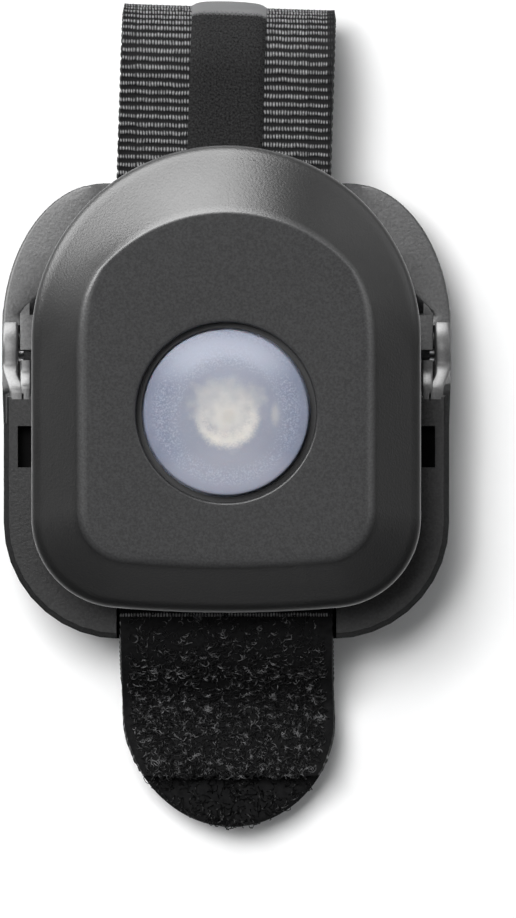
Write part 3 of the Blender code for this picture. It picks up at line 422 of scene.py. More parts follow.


# Painted glints: the frost's brightest specks painted lighter, most of all in a ring round the disc.
frost_glints = remapped(frost, 0.46, 0.66)
cup_ring = without(patch((0, 0.1), 5.0, 1.0), patch((0.1, -0.9), 4.2, 1.6))
# Painted highlight: a bright warm crescent on the lower side of the disc.
glow_crescent_highlight = without(patch((0.1, -0.4), 2.8, 1.0), patch((0.0, 0.4), 2.5, 1.2))
glint_ring = without(patch((0, 0), 6.9, 0.8), patch((0.3, -0.5), 4.9, 1.0))
# The lens's layers over a hazy base: painted light at the top and at the bottom, the cup and the warm
# phosphor seen through the frost, the painted highlight of the crescent and the painted glints.
lens_tints_and_painted_light = [
    (patch((-0.2, 5.2), 2.4, 3.0, (0.45, 1)), (0.445, 0.468, 0.555), 0.85),
    (patch((0.4, -5.6), 2.2, 2.6, (0.4, 1)), (0.325, 0.335, 0.40), 0.85),
    (patch((0.2, -0.4), 5.2, 2.2), (0.33, 0.34, 0.388), 0.5),
    (cup_ring, (0.25, 0.268, 0.335), 0.45),
    (patch((0.1, 0.9), 2.6, 2.0, (0.8, 1.25), haze), (0.475, 0.468, 0.467), 0.7),
    (patch((0.2, -0.6), 1.9, 2.6, edge=haze), (0.58, 0.564, 0.538), 0.9),
    (glow_crescent_highlight, (0.80, 0.757, 0.67), 0.6),
    (patch((0.25, -0.4), 0.6, 0.6), (0.48, 0.455, 0.42), 0.5),
    (patch((4.6, -0.2), 0.35, 0.5, (1, 0.4)), (0.55, 0.535, 0.50), 0.4),
    (reckon("MULTIPLY", frost_glints, glint_ring), (0.50, 0.545, 0.645), 0.4),
    (frost_glints, (0.46, 0.47, 0.52), 0.12),
]
lens_colour = two_tone(haze, (0.185, 0.203, 0.272), (0.228, 0.250, 0.326))
for layer in lens_tints_and_painted_light:
    lens_colour = laid_over(lens_colour, *layer)
surfaced(lens_shader, lens_colour, frost, 0.4, 0.02 * MM)
lens_gloss = remapped(patch((0, 0), 7.3, 0.3), 0.0, 1.0, 0.01, 0.03)
link(lens_gloss, lens_shader.inputs["Specular IOR Level"])
lens_rings = []
for radius, z in lens_profile:
    lens_rings.append([(x, y, z) for x, y in arc(0, 0, radius, 0, 2 * pi, LENS_STEPS)[:-1]])
lens_cap = skinned("lens_cap", lens_rings, 40, lens_look)
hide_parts("lens_button")
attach(lens_cap, "lens")


# Front shell: one moulding in the tub's plastic, with polished slopes, a duller flat face and a
# rounded recess for the lens. Its colour carries painted light: a painted highlight round the outer
# edge, the slopes painted darker as painted shade and the face painted lighter. The crease between
# slope and face is crisp round the top and runs out soft along the sides and the bottom.
SHELL_LOW, SHELL_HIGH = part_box("front_shell")
LAMP_HALF_WIDTH = SHELL_HIGH.x
LAMP_TOP = SHELL_HIGH.y
LAMP_BOTTOM = SHELL_LOW.y
LAMP_CORNER = 8.5 * MM
FACE_HALF_WIDTH = 13.5 * MM
FACE_TOP = 18.6 * MM
FACE_BOTTOM = -14.1 * MM
FACE_ARCH = 15.8 * MM
FACE_CORNER = 4.5 * MM
BOTTOM_BOW = 0.5 * MM
RECESS_RADIUS = 8.45 * MM
RECESS_ROUND = 0.4 * MM
SIDE_DRAFT = 0.35 * MM
RIM_EDGE = 0.1 * MM
SHELL_RIM_Z = SHELL_LOW.z
FACE_Z = SHELL_HIGH.z
EDGE_LOW_Z = FACE_Z - 5.4 * MM
EDGE_HIGH_Z = FACE_Z - 4.4 * MM
EDGE_INSET = 0.75 * MM
EDGE_CORNER = 0.5 * MM
SLOPE_BULGE = (-0.06 * MM, 0.05 * MM)
EDGE_START = 0.12 * MM
# Painted highlight round the outer edge: full below the first height and gone above the second.
RIM_HIGHLIGHT_START = EDGE_LOW_Z + 0.22 * MM
RIM_HIGHLIGHT_END = EDGE_LOW_Z + 0.62 * MM
GLOSS_EDGE = (FACE_Z - 0.15 * MM, FACE_Z - 0.03 * MM)
TONE_EDGE = (FACE_Z - 0.6 * MM, FACE_Z - 0.03 * MM)
SLOPE_GLOSS, FACE_GLOSS = 0.32, 0.008
# Painted shade and light: scales that make the slopes' colour darker and the face's lighter.
SLOPE_SHADE_TONE, FACE_LIGHT_TONE = 0.2, 3.45
FACE_EVENNESS = 0.5
FACE_BACK_Z = FACE_Z - 1.6 * MM
CRISP_CREASE = 0.35 * MM
SOFT_CREASE = 0.9 * MM
CRISP_FROM = 9.5 * MM
CRISP_OVER = 5.5 * MM
CREASE_FLAT = 2.4 * MM
WALL_INSET = 2.65 * MM
LIP_INSET = 1.35 * MM
LIP_Z = SHELL_RIM_Z + 1.2 * MM
CEILING_INSET = 1.12 * MM
ARCH_STEPS = 72
CORNER_STEPS = 20
SIDE_STEPS = 30
BEND_SPAN = 6
BEND_PASSES = 40
BOW_STEPS = 12
EDGE_STEPS = 8
SLOPE_STEPS = 10
CREASE_STEPS = 6
RECESS_STEPS = 6


def arch_ring(half_width, top, bottom, top_radius, corner, inset, z):
    """Points round an arch with a slightly bowed bottom edge, against the clock from the right."""
    half_width, top, bottom = half_width - inset, top - inset, bottom + inset
    top_radius, corner = top_radius - inset, corner - inset
    slope = atan(2 * BOTTOM_BOW / (half_width - corner))
    reach = asin(min(1.0, half_width / top_radius))
    arch = arc(0, top - top_radius, top_radius, pi / 2 - reach, pi / 2 + reach, ARCH_STEPS)
    middle = bottom + BOTTOM_BOW + corner * cos(slope)
    left = arc(corner - half_width, middle, corner, pi, 1.5 * pi - slope, CORNER_STEPS)
    high = arch[-1][1]
    side = [(-half_width, y) for y in spaced(high, middle, SIDE_STEPS)[1:-1]]
    end = left[-1][0]
    base = [(end * t, bottom + BOTTOM_BOW * t**2) for t in spaced(1, -1, BOW_STEPS)[1:-1]]
    mirrored = [(-x, y) for x, y in reversed(side + left)]
    return [Vector((x, y, z)) for x, y in arch + side + left + base + mirrored]


def lamp_ring(inset, z):
    return arch_ring(LAMP_HALF_WIDTH, LAMP_TOP, LAMP_BOTTOM, LAMP_HALF_WIDTH, LAMP_CORNER, inset, z)


def face_ring(inset, z):
    """The face's outline, with its two corners below the arch softened."""
    points = arch_ring(FACE_HALF_WIDTH, FACE_TOP, FACE_BOTTOM, FACE_ARCH, FACE_CORNER, inset, z)
    for _ in range(BEND_PASSES):
        before = list(points)
        for middle in (0, ARCH_STEPS):
            for i in range(middle - BEND_SPAN, middle + BEND_SPAN + 1):
                points[i] = (before[i - 1] + before[i] * 2 + before[i + 1]) / 4
    return points


def recess_ring(radius, z):
    """A circle round the lens with one point towards each point of the face's outline."""
    turns = [atan2(point.y, point.x) for point in face_ring(0, z)]
    return [Vector((radius * cos(a), radius * sin(a), z)) for a in turns]


def bezier(start, pull, end, t):
    """A point of the curve that leaves start and reaches end along lines to pull."""
    return start * (1 - t) ** 2 + pull * (2 * t * (1 - t)) + end * t**2


def slope_spot(low, crease, share):
    """A point a share of the way up a slope, hollow at the lamp's bottom and bulging at its top."""
    height = eased((crease.y + LAMP_TOP) / (2 * LAMP_TOP))
    bulge = SLOPE_BULGE[0] + (SLOPE_BULGE[1] - SLOPE_BULGE[0]) * height
    return low.lerp(crease, share) + Vector((0, 0, bulge * 4 * share * (1 - share)))


def crease_round(point):
    """How far the crease's rounding reaches to each side of a point."""
    return SOFT_CREASE + (CRISP_CREASE - SOFT_CREASE) * eased((point.y - CRISP_FROM) / CRISP_OVER)


shell_rings = [
    lamp_ring(SIDE_DRAFT + RIM_EDGE, SHELL_RIM_Z),
    lamp_ring(SIDE_DRAFT, SHELL_RIM_Z + RIM_EDGE),
]
for t in spaced(0, 1, EDGE_STEPS):
    inset = bezier(EDGE_START, -EDGE_START / 4, EDGE_INSET, t)
    shell_rings.append(lamp_ring(inset, bezier(EDGE_LOW_Z, EDGE_HIGH_Z - EDGE_CORNER, EDGE_HIGH_Z, t)))
slope_lines = []
slope_corners = [lamp_ring(EDGE_INSET, EDGE_HIGH_Z), face_ring(0, FACE_Z), face_ring(CREASE_FLAT, FACE_Z)]
for low, crease, flat in zip(*slope_corners):
    slope_lines.append((low, crease, flat, 1 - crease_round(crease) / (crease - low).length))
for t in spaced(0, 1, SLOPE_STEPS)[1:]:
    shell_rings.append([slope_spot(low, crease, end * t) for low, crease, _, end in slope_lines])
for t in spaced(0, 1, CREASE_STEPS)[1:]:
    ring = []
    for low, crease, flat, end in slope_lines:
        start = slope_spot(low, crease, end)
        stop = crease.lerp(flat, crease_round(crease) / (flat - crease).length)
        ring.append(bezier(start, crease, stop, t))
    shell_rings.append(ring)
shell_rings.append(face_ring(CREASE_FLAT, FACE_Z))
rounded = (RECESS_RADIUS + RECESS_ROUND, FACE_Z - RECESS_ROUND, RECESS_ROUND)
shell_rings += [recess_ring(radius, z) for radius, z in arc(*rounded, pi / 2, pi, RECESS_STEPS)]
shell_rings += [
    recess_ring(RECESS_RADIUS, FACE_BACK_Z),
    face_ring(CEILING_INSET, FACE_BACK_Z),
    lamp_ring(WALL_INSET, EDGE_HIGH_Z),
    lamp_ring(WALL_INSET, LIP_Z),
    lamp_ring(LIP_INSET, LIP_Z),
    lamp_ring(LIP_INSET, SHELL_RIM_Z),
]
FRONT_PLASTIC = SHELL_PLASTIC.copy()
FRONT_PLASTIC.name = "front_plastic"
front_tree = FRONT_PLASTIC.node_tree
front_inputs = front_tree.nodes["Principled BSDF"].inputs
front_place = place_in(front_tree)
front_level = add_node(front_tree, "SeparateXYZ", {0: front_place}).outputs["Z"]
# The slopes painted darker as painted shade, the face lighter as painted light, and a painted highlight
# round the outer edge.
painted_face_light = remapped(front_level, *TONE_EDGE, SLOPE_SHADE_TONE, FACE_LIGHT_TONE)
front_colour = front_inputs["Base Color"].links[0].from_socket
scaled = add_node(front_tree, "VectorMath", {0: front_colour, "Scale": painted_face_light}, operation="SCALE")
front_painted_light_layers = [
    (remapped(front_level, *TONE_EDGE), (0.049, 0.049, 0.0495), FACE_EVENNESS),
    (remapped(front_level, RIM_HIGHLIGHT_END, RIM_HIGHLIGHT_START), (0.15, 0.15, 0.152), 1.0),
]
front_colour = scaled.outputs[0]
for layer in front_painted_light_layers:
    front_colour = laid_over(front_colour, *layer)
link(front_colour, front_inputs["Base Color"])
front_gloss = remapped(front_level, *GLOSS_EDGE, SLOPE_GLOSS, FACE_GLOSS)
link(front_gloss, front_inputs["Specular IOR Level"])
front_cover = skinned("front_cover", shell_rings, 30, FRONT_PLASTIC, tube=True)
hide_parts("front_shell")
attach(front_cover, "lamp")


# Cover screws: four zinc-plated thread-forming screws from behind, each with a flat round head and
# a round drive socket, sunk in the tub's posts.
SCREW_EDGE = 0.12 * MM
BRIGHT_STEEL = speckled_material(
    "bright_steel", (0.55, 0.55, 0.56), (0.72, 0.72, 0.73), 2500.0, 0.28, Metallic=1.0
)
for number in range(1, 5):
    screw = rounded_copy(f"cover_screw_{number}", f"tub_screw_{number}", SCREW_EDGE, BRIGHT_STEEL)
    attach(screw, "lamp")


# Port flap: a moulded rubber plug over the charging socket, with soft edges. Its lower edge is the
# living hinge that keeps it on the tub.
FLAP_EDGE = 0.25 * MM
FLAP_RUBBER = moulded_plastic(
    "flap_rubber", (0.012, 0.012, 0.013), (0.024, 0.024, 0.025), 0.5, 0.72, 5000.0, 0.02 * MM
)
port_flap = rounded_copy("port_plug", "port_flap", FLAP_EDGE, FLAP_RUBBER)
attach(port_flap, "flap")


# Cradle: the tray behind the lamp, moulded in tougher dark plastic with a coarser skin. The lamp's
# lugs slide in its grooves, the strap lies in its channel and its ears carry the pin.
CRADLE_EDGE = 0.16 * MM
CRADLE_PLASTIC = moulded_plastic(
    "cradle_plastic", (0.008, 0.008, 0.0082), (0.018, 0.018, 0.0184), 0.14, 0.30, 4200.0, 0.014 * MM
)
PIN = (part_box("hinge_pin")[0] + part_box("hinge_pin")[1]) / 2
EAR_RADIUS = 4.2 * MM
TRAY_FRONT_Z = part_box("cradle")[1].z + 0.003 * MM
EAR_INNER = (18.9 * MM, 19.72 * MM)
EAR_OUTER = (20.62 * MM, 21.28 * MM)
EAR_PROUD = 0.18 * MM
EAR_FROM = 1.3 * MM
EAR_FALL = (1.9 * MM, 4.9 * MM)
EAR_NARROW = (1.9 * MM, 4.0 * MM)
EAR_WIDEN = (1.9 * MM, 4.6 * MM)
EAR_SOFT = 0.3 * MM
EAR_WALL = 0.6 * MM
TAB_SIDES = (18.5 * MM, 19.55 * MM)
TAB_FALL = (2.3 * MM, 4.2 * MM)
TAB_END = 5.0 * MM
TAB_DROP = 0.75 * MM
TAB_WALL = 0.35 * MM
WINDOW_DARK = ((19.8, 20.0), (-0.9, -0.6), (12.3, 12.7))
EAR_STEPS = 40
EAR_TURN_STEPS = 24
TAB_STEPS = 30
BAND_STEPS = 3


def part_way(pair, span, y):
    """A size that eases from one value to another over a span of y."""
    return pair[0] + (pair[1] - pair[0]) * eased((y - span[0]) / (span[1] - span[0]))


def swept_band(name, side, path, depth, soft, material):
    """A band that follows points (y, z, inner x, outer x), with its two upper edges rounded."""
    rings = []
    for i, (y, z, inner, outer) in enumerate(path):
        before, after = path[max(0, i - 1)], path[min(len(path) - 1, i + 1)]
        along = Vector((0, after[0] - before[0], after[1] - before[1])).normalized()
        up = Vector((0, -along.z, along.y))
        section = [(inner, -depth)]
        for centre, start in ((inner + soft, pi), (outer - soft, pi / 2)):
            section += arc(centre, -soft, soft, start, start - pi / 2, BAND_STEPS)
        section.append((outer, -depth))
        rings.append([Vector((side * x, y, z)) + up * rise for x, rise in section])
    return skinned(name, rings, 50, material)


def ear_path():
    """The ear's outer line: out of the tray's front, down in a gentle step, and round the pin."""
    path = []
    for y in spaced(EAR_FROM, PIN.y, EAR_STEPS):
        z = part_way((TRAY_FRONT_Z, PIN.z + EAR_RADIUS), EAR_FALL, y)
        path.append((y, z, part_way(EAR_INNER, EAR_NARROW, y), part_way(EAR_OUTER, EAR_WIDEN, y)))
    turn = arc(PIN.y, PIN.z, EAR_RADIUS, pi / 2, 0, EAR_TURN_STEPS)[1:]
    return path + [(*spot, EAR_INNER[1], EAR_OUTER[1]) for spot in turn]


def tab_path():
    """The tray's inner shoulder beside an ear, which steps down over the lamp's lug."""
    drop = (TRAY_FRONT_Z, TRAY_FRONT_Z - TAB_DROP)
    return [(y, part_way(drop, TAB_FALL, y), *TAB_SIDES) for y in spaced(EAR_FROM, TAB_END, TAB_STEPS)]


def deep_shade(material):
    """Darkens the floor of the two lug windows, where hardly any light gets in."""
    tree = material.node_tree
    shader = tree.nodes["Principled BSDF"].inputs
    x, y, z = add_node(tree, "SeparateXYZ", {0: place_in(tree)}).outputs
    light = 0.0
    for reach, (near, far) in zip((reckon("ABSOLUTE", x), y, z), WINDOW_DARK):
        light = reckon("MAXIMUM", light, remapped(reach, near * MM, far * MM))
    colours = {0: light, 6: (0.006, 0.006, 0.006, 1), 7: shader["Base Color"].links[0].from_socket}
    shaded = add_node(tree, "Mix", colours, data_type="RGBA").outputs[2]
    gloss = reckon("MULTIPLY", light, shader["Specular IOR Level"].default_value)
    link(shaded, shader["Base Color"])
    link(gloss, shader["Specular IOR Level"])


deep_shade(CRADLE_PLASTIC)
# The ear bands and tabs: glossier than the tray, and painted lighter as a painted sheen.
EAR_SHEEN_PLASTIC = moulded_plastic(
    "ear_sheen_plastic", (0.022, 0.022, 0.0225), (0.040, 0.040, 0.041), 0.58, 0.40, 4200.0, 0.01 * MM
)
back_tray = rounded_copy("cradle", "back_tray", CRADLE_EDGE, CRADLE_PLASTIC)
flush = EAR_OUTER[1] - EAR_PROUD
for corner in back_tray.data.vertices:
    widest = part_way((flush, EAR_OUTER[1]), (-MM, EAR_WIDEN[1]), corner.co.y)
    corner.co.x = max(-widest, min(widest, corner.co.x))
tray_bands = []
for side, word in ((1, "right"), (-1, "left")):
    tray_bands.append(swept_band(f"{word}_ear_band", side, ear_path(), EAR_WALL, EAR_SOFT, EAR_SHEEN_PLASTIC))
    tray_bands.append(swept_band(f"{word}_tab", side, tab_path(), TAB_WALL, TAB_WALL / 2, EAR_SHEEN_PLASTIC))
pick(back_tray, *tray_bands)
bpy.ops.object.join()
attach(back_tray, "base")


# Spring clip: one moulding in the cradle's plastic, with a jaw below the pin and two handle lobes
# that flare back above it. Its colour is painted lighter than the tray's, as painted light on the
# up-tilted lobes. A rubber pad is glued on the jaw.
LEVER_EDGE = 0.3 * MM
PAD_EDGE = 0.2 * MM
LEVER_LIT_PLASTIC = moulded_plastic(
    "lever_lit_plastic", (0.015, 0.015, 0.0154), (0.042, 0.042, 0.043), 0.3, 0.42, 3400.0, 0.03 * MM
)
COVER_SIDES = (18.1 * MM, 19.6 * MM)
COVER_SPAN = (6.0 * MM, 9.3 * MM)
COVER_WALL = 0.3 * MM
HANDLE_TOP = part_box("clip_lever")[1].y
LOBE_START = 10.2 * MM
LOBE_RISE = 1.2 * MM
LOBE_FALL = 2.4 * MM
HOOD_RADIUS = 3.88 * MM
HOOD_WALL = 0.02 * MM
HOOD_END = HANDLE_TOP - 0.25 * MM
HOOD_FROM = 8.35 * MM
HOOD_LINE = (9.3 * MM, 10.34 * MM)
HOOD_ROUND = 0.3 * MM
HOOD_BLEND = ((9.3, 17.95), (10.3, 16.9), (12.0, 15.2), (14.0, 12.0), (15.0, 10.6), (30.0, 10.6))
HOOD_EASE = 2.2 * MM
LOBE_WIDTH = EAR_OUTER[1]
LOBE_CORNER = (9.5 * MM, 14.0 * MM)
LOBE_SUNK = 0.4 * MM
HOOD_STEPS = 60
HOOD_EASE_STEPS = 6
HOOD_TURN_STEPS = 4


def lobe_height(y):
    return PIN.z + LOBE_RISE - LOBE_FALL * (y - LOBE_START) / (HANDLE_TOP - LOBE_START)


def hood_height(y):
    """Height of the lobes' outer half, which falls in a straight line to the handle's top."""
    share = (y - HOOD_LINE[0]) / (HANDLE_TOP - HOOD_LINE[0])
    return HOOD_LINE[1] + (lobe_height(HANDLE_TOP) + HOOD_WALL - HOOD_LINE[1]) * share


def handle_lobe(name, side, material):
    """The raised outer half of a handle lobe, which flows down over the ear's round top."""
    rings = []
    for y in spaced(HOOD_FROM, HOOD_END, HOOD_STEPS):
        top = hood_height(y)
        under = lobe_height(y) - LOBE_SUNK
        if y < LOBE_START:
            under = max(lobe_height(y), PIN.z + sqrt(max(0, HOOD_RADIUS**2 - (y - PIN.y) ** 2)))
        spans = zip(HOOD_BLEND, HOOD_BLEND[1:])
        (y0, x0), (y1, x1) = next(span for span in spans if y <= span[1][0] * MM)
        start = (x0 + (x1 - x0) * max(0, y / MM - y0) / (y1 - y0)) * MM
        bend = max(0, y - HANDLE_TOP + LOBE_CORNER[1]) / LOBE_CORNER[1]
        wide = LOBE_WIDTH - LOBE_CORNER[0] * (1 - sqrt(1 - bend**2))
        start = min(start, wide - 3 * HOOD_ROUND)
        ease = min(HOOD_EASE, wide - HOOD_ROUND - start)
        low = lobe_height(y) if y > HOOD_LINE[0] else min(top, under + HOOD_WALL)
        section = [(start, min(under, low - HOOD_WALL / 4))]
        for share in spaced(0, 1, HOOD_EASE_STEPS):
            section.append((start + ease * share, low + (top - low) * eased(share)))
        soft = min(HOOD_ROUND, top - under)
        for a in spaced(pi / 2, 0, HOOD_TURN_STEPS):
            section.append((wide - HOOD_ROUND * (1 - cos(a)), top - soft * (1 - sin(a))))
        section.append((wide, min(under, top - soft)))
        rings.append([Vector((side * x, y, z)) for x, z in section])
    return skinned(name, rings, 50, material)


cover_path = [(y, hood_height(y), *COVER_SIDES) for y in COVER_SPAN]
clip_handle = rounded_copy("clip_lever", "clip_handle", LEVER_EDGE, LEVER_LIT_PLASTIC)
pick(
    clip_handle,
    handle_lobe("right_lobe", 1, LEVER_LIT_PLASTIC),
    handle_lobe("left_lobe", -1, LEVER_LIT_PLASTIC),
    swept_band("right_cover", 1, cover_path, COVER_WALL, COVER_WALL / 3, LEVER_LIT_PLASTIC),
    swept_band("left_cover", -1, cover_path, COVER_WALL, COVER_WALL / 3, LEVER_LIT_PLASTIC),
)
bpy.ops.object.join()
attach(clip_handle, "clip")
pad_on_jaw = rounded_copy("jaw_pad", "pad_on_jaw", PAD_EDGE, FLAP_RUBBER)
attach(pad_on_jaw, "clip")


# Hinge pin: a length of ground steel rod with a small chamfer at each end. It is pressed in the
# cradle's ears, and the clip turns on it.
PIN_EDGE = 0.2 * MM
cross_pin = rounded_copy("hinge_pin", "cross_pin", PIN_EDGE, BRIGHT_STEEL)
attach(cross_pin, "base")


# Torsion spring: hard-drawn wire wound round the pin. One leg bears on the cradle's back, and the
# other on the handle, so the coil twists along its length as the clip opens.
WIRE_RADIUS = 0.3 * MM
COIL_RADIUS = 1.9 * MM
COIL_PITCH = 1.1 * MM
COIL_TURNS = 5 + 2 / 3
COIL_STEPS = 160
TOP_LEG = 4.5 * MM
LOW_LEG = 2.4 * MM
LOW_LEG_SLOPE = 0.15
KNEE_DROP = 0.15 * MM
coil = []
for turn in spaced(0, COIL_TURNS, COIL_STEPS):
    a = pi / 2 + 2 * pi * turn
    across = COIL_PITCH * (turn - COIL_TURNS / 2)
    coil.append(PIN + Vector((across, COIL_RADIUS * cos(a), COIL_RADIUS * sin(a))))
leave = pi / 2 + 2 * pi * COIL_TURNS
away = Vector((0, -sin(leave), cos(leave)))
knee = coil[-1] + away * ((PIN.z + COIL_RADIUS - KNEE_DROP - coil[-1].z) / away.z)
wire_path = [coil[0] + Vector((0, TOP_LEG, 0))] + coil
wire_path += [knee, knee + Vector((0, LOW_LEG, -LOW_LEG * LOW_LEG_SLOPE))]
wire_curve = bpy.data.curves.new("coil_spring", "CURVE")
wire_curve.dimensions = "3D"
wire_curve.bevel_depth = WIRE_RADIUS
wire_curve.bevel_resolution = 3
wire_curve.use_fill_caps = True
wire_line = wire_curve.splines.new("POLY")
wire_line.points.add(len(wire_path) - 1)
for target, point in zip(wire_line.points, wire_path):
    target.co = (*point, 1)
coil_spring = bpy.data.objects.new("coil_spring", wire_curve)
scene.collection.objects.link(coil_spring)
pick(coil_spring)
bpy.ops.object.convert(target="MESH")
coil_spring = bpy.context.object
smooth(coil_spring, 40)
coil_spring.data.materials.append(BRIGHT_STEEL)
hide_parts("torsion_spring")
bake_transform(coil_spring)


# Strap: black ribbed webbing, threaded between lamp and cradle, folded over above the lamp and cut
# round at the tail. Rows of beaded yarn stand proud of a dark ground, finer in the selvages.
STRAP_LOW, STRAP_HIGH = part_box("strap_band")
STRAP_HALF_WIDTH = STRAP_HIGH.x
STRAP_HALF = 0.6 * MM
STRAP_FRONT_END = -34.5 * MM
STRAP_TAIL_TIP = STRAP_LOW.y
STRAP_END_Z = 3.1 * MM
STRAP_FRONT_Z = STRAP_HIGH.z - STRAP_HALF
DROP_END = -29.0 * MM
DROP_START = -19.6 * MM
FOLD_RADIUS = (STRAP_FRONT_Z - STRAP_HALF) / 2
FOLD_Y = STRAP_HIGH.y - STRAP_HALF - FOLD_RADIUS
LINE_STEPS = 60
RIB_PITCH = 0.77 * MM
RIB_DEPTH = 0.22 * MM
RIB_STEPS = 4
YARN_DEPTH = 0.06 * MM
EDGE_FLAT = 16
YARN_PITCH = 0.28
SELVAGE_YARN = 0.25
LEFT_SELVAGE = -8.6
RIGHT_SELVAGE = 7.8
RIGHT_SHADE_FROM = 9.6
STRAP_COLUMNS = 72
HIDDEN_FROM = -17.5 * MM
HIDDEN_TO = 20.0 * MM
HIDDEN_STEP = 1.0 * MM
STRAP_LEAN = 0.0325
LEAN_FROM = 14 * MM
LEAN_OVER = 8 * MM
LEAN_CENTRE = 30 * MM
TAIL_STRAY = 0.5 * MM
TAIL_FROM = -22 * MM
TAIL_OVER = 16 * MM
TAIL_ROUND = 1.75
TIP_HALF_WIDTH = 0.6 * MM
TIP_STEP = 0.02 * MM
TAIL_LIFT = 3.2 * MM
LIFT_FROM = -24.0 * MM
LIFT_OVER = 10.0 * MM
END_STEPS = 6


def tail_lift(y):
    """How far the closed end of the strap stands off the floor."""
    return TAIL_LIFT * eased((LIFT_FROM - y) / LIFT_OVER)


def strap_line():
    """Close points (y, z) of the strap's middle line, from its front end round the fold to the tail."""
    line = [(y, STRAP_END_Z) for y in spaced(STRAP_FRONT_END, DROP_END, END_STEPS)[:-1]]
    for share in spaced(0, 1, LINE_STEPS):
        y = DROP_END + (DROP_START - DROP_END) * share
        rise = (1 - cos(pi * share)) / 2
        line.append((y, STRAP_END_Z + (STRAP_FRONT_Z - STRAP_END_Z) * rise))
    line += arc(FOLD_Y, STRAP_HALF + FOLD_RADIUS, FOLD_RADIUS, pi / 2, -pi / 2, LINE_STEPS)
    line += [(y, STRAP_HALF) for y in spaced(LIFT_FROM, STRAP_TAIL_TIP, LINE_STEPS)]
    return [(y, z + tail_lift(y)) for y, z in line]


STRAP_LINE = strap_line()
REACHES = [0.0]
for one, other in zip(STRAP_LINE, STRAP_LINE[1:]):
    REACHES.append(REACHES[-1] + dist(one, other))
STRAP_LENGTH = REACHES[-1]
FOLD_START = REACHES[END_STEPS + LINE_STEPS + 1]


def strap_spot(along):
    """Place and upward direction of the strap at a length from its front end."""
    along = min(max(along, 0.0), STRAP_LENGTH - 1e-9)
    i = next(i for i, length in enumerate(REACHES[1:]) if length > along)
    one, other = Vector((0, *STRAP_LINE[i])), Vector((0, *STRAP_LINE[i + 1]))
    share = (along - REACHES[i]) / (REACHES[i + 1] - REACHES[i])
    forward = (other - one).normalized()
    return one.lerp(other, share), Vector((0, -forward.z, forward.y))


def strap_shift(point):
    """How far the worn strap strays: the tail to one side, the fold askew."""
    tail = TAIL_STRAY * eased((TAIL_FROM - point.y) / TAIL_OVER)
    lean = STRAP_LEAN * eased((point.y - LEAN_FROM) / LEAN_OVER)
    return Vector((tail + lean * (point.y - LEAN_CENTRE), -lean * point.x, 0))


def strap_half_width(y):
    """Half width of the strap, which narrows to the round tail."""
    below = max(0.0, STRAP_TAIL_TIP + STRAP_HALF_WIDTH - y) / STRAP_HALF_WIDTH
    return max(TIP_HALF_WIDTH, STRAP_HALF_WIDTH * sqrt(max(0.0, 1 - below**TAIL_ROUND)))


def laid_sheet(name, stations, wall, degrees, material):
    """A smooth sheet below its stations' rows of points, with a UV map in millimetres."""
    thing = grid_of(name, [row for row, _ in stations])
    spots = [(point.x, along) for row, along in stations for point in row]
    sheet_map = thing.data.uv_layers.active.data
    for loop in thing.data.loops:
        across, along = spots[loop.vertex_index]
        sheet_map[loop.index].uv = (across / MM, along / MM)
    if wall:
        solid = thing.modifiers.new("thickness", "SOLIDIFY")
        solid.thickness = wall
        solid.offset = -1
        bpy.ops.object.modifier_apply(modifier=solid.name)
    smooth(thing, degrees)
    thing.data.materials.append(material)
    return thing


def strap_row(middle, up, half, columns, rise):
    """Points across the strap, over its middle by what rise says for a column and its share across."""
    row = []
    for i, across in enumerate(spaced(-1, 1, columns)):
        point = middle + Vector((half * across, 0, 0)) + up * rise(i, across)
        row.append(point + strap_shift(point))
    return row


def webbing_stations():
    """Rows of points across the strap, close where its ribs show and far apart under the lamp."""
    stations = []
    along = 0.0
    step = RIB_PITCH / RIB_STEPS
    while along < STRAP_LENGTH:
        middle, up = strap_spot(along)
        front = middle.z > FOLD_RADIUS
        hidden = front and HIDDEN_FROM < middle.y < HIDDEN_TO
        half = strap_half_width(middle.y)
        rib = 0.5 if hidden else abs(sin(pi * along / RIB_PITCH))
        relief = (half / STRAP_HALF_WIDTH) ** 2

        def rise(i, across):
            yarn = YARN_DEPTH * ((i + int(along / RIB_PITCH)) % 2) * rib
            return STRAP_HALF - relief * (RIB_DEPTH * (1 - rib) + yarn) * (1 - across**EDGE_FLAT)

        stations.append((strap_row(middle, up, half, STRAP_COLUMNS, rise), along))
        seen = middle.y > HIDDEN_TO or (front and middle.y < HIDDEN_FROM)
        stride = HIDDEN_STEP if hidden else step if seen else 2 * step
        along += min(stride, max(TIP_STEP, (STRAP_LENGTH - along) / 3))
    return stations


def weave_group():
    """Ribbed weave on a UV map in millimetres: narrow rows of beads with dark gaps between."""
    tree, given, made = new_group("ribbed_weave", ["Row", "Yarn", "Narrow"], ["Height", "Beads"])
    place = place_in(tree, "UV")
    wander = add_node(tree, "TexNoise", {"Vector": place, "Scale": 0.8, "Detail": 2.0}).outputs["Color"]
    stray = {0: wander, 1: (0.25, 0.25, 0), 2: place}
    strayed = add_node(tree, "VectorMath", stray, operation="MULTIPLY_ADD").outputs[0]
    parts = add_node(tree, "SeparateXYZ", {0: strayed}).outputs
    waves = []
    for axis, pitch in (("X", "Yarn"), ("Y", "Row")):
        angle = reckon("MULTIPLY", reckon("DIVIDE", parts[axis], given[pitch]), pi)
        waves.append(reckon("ABSOLUTE", reckon("SINE", angle)))
    beads = reckon("MULTIPLY", waves[0], reckon("POWER", waves[1], given["Narrow"]))
    uneven = remapped(noise(place, 2.2, 3.0, 0.7), 0.3, 0.7, 0.45, 1.0)
    link(beads, made["Height"])
    link(reckon("MULTIPLY", beads, uneven), made["Beads"])
    return tree


RIBBED_WEAVE = weave_group()


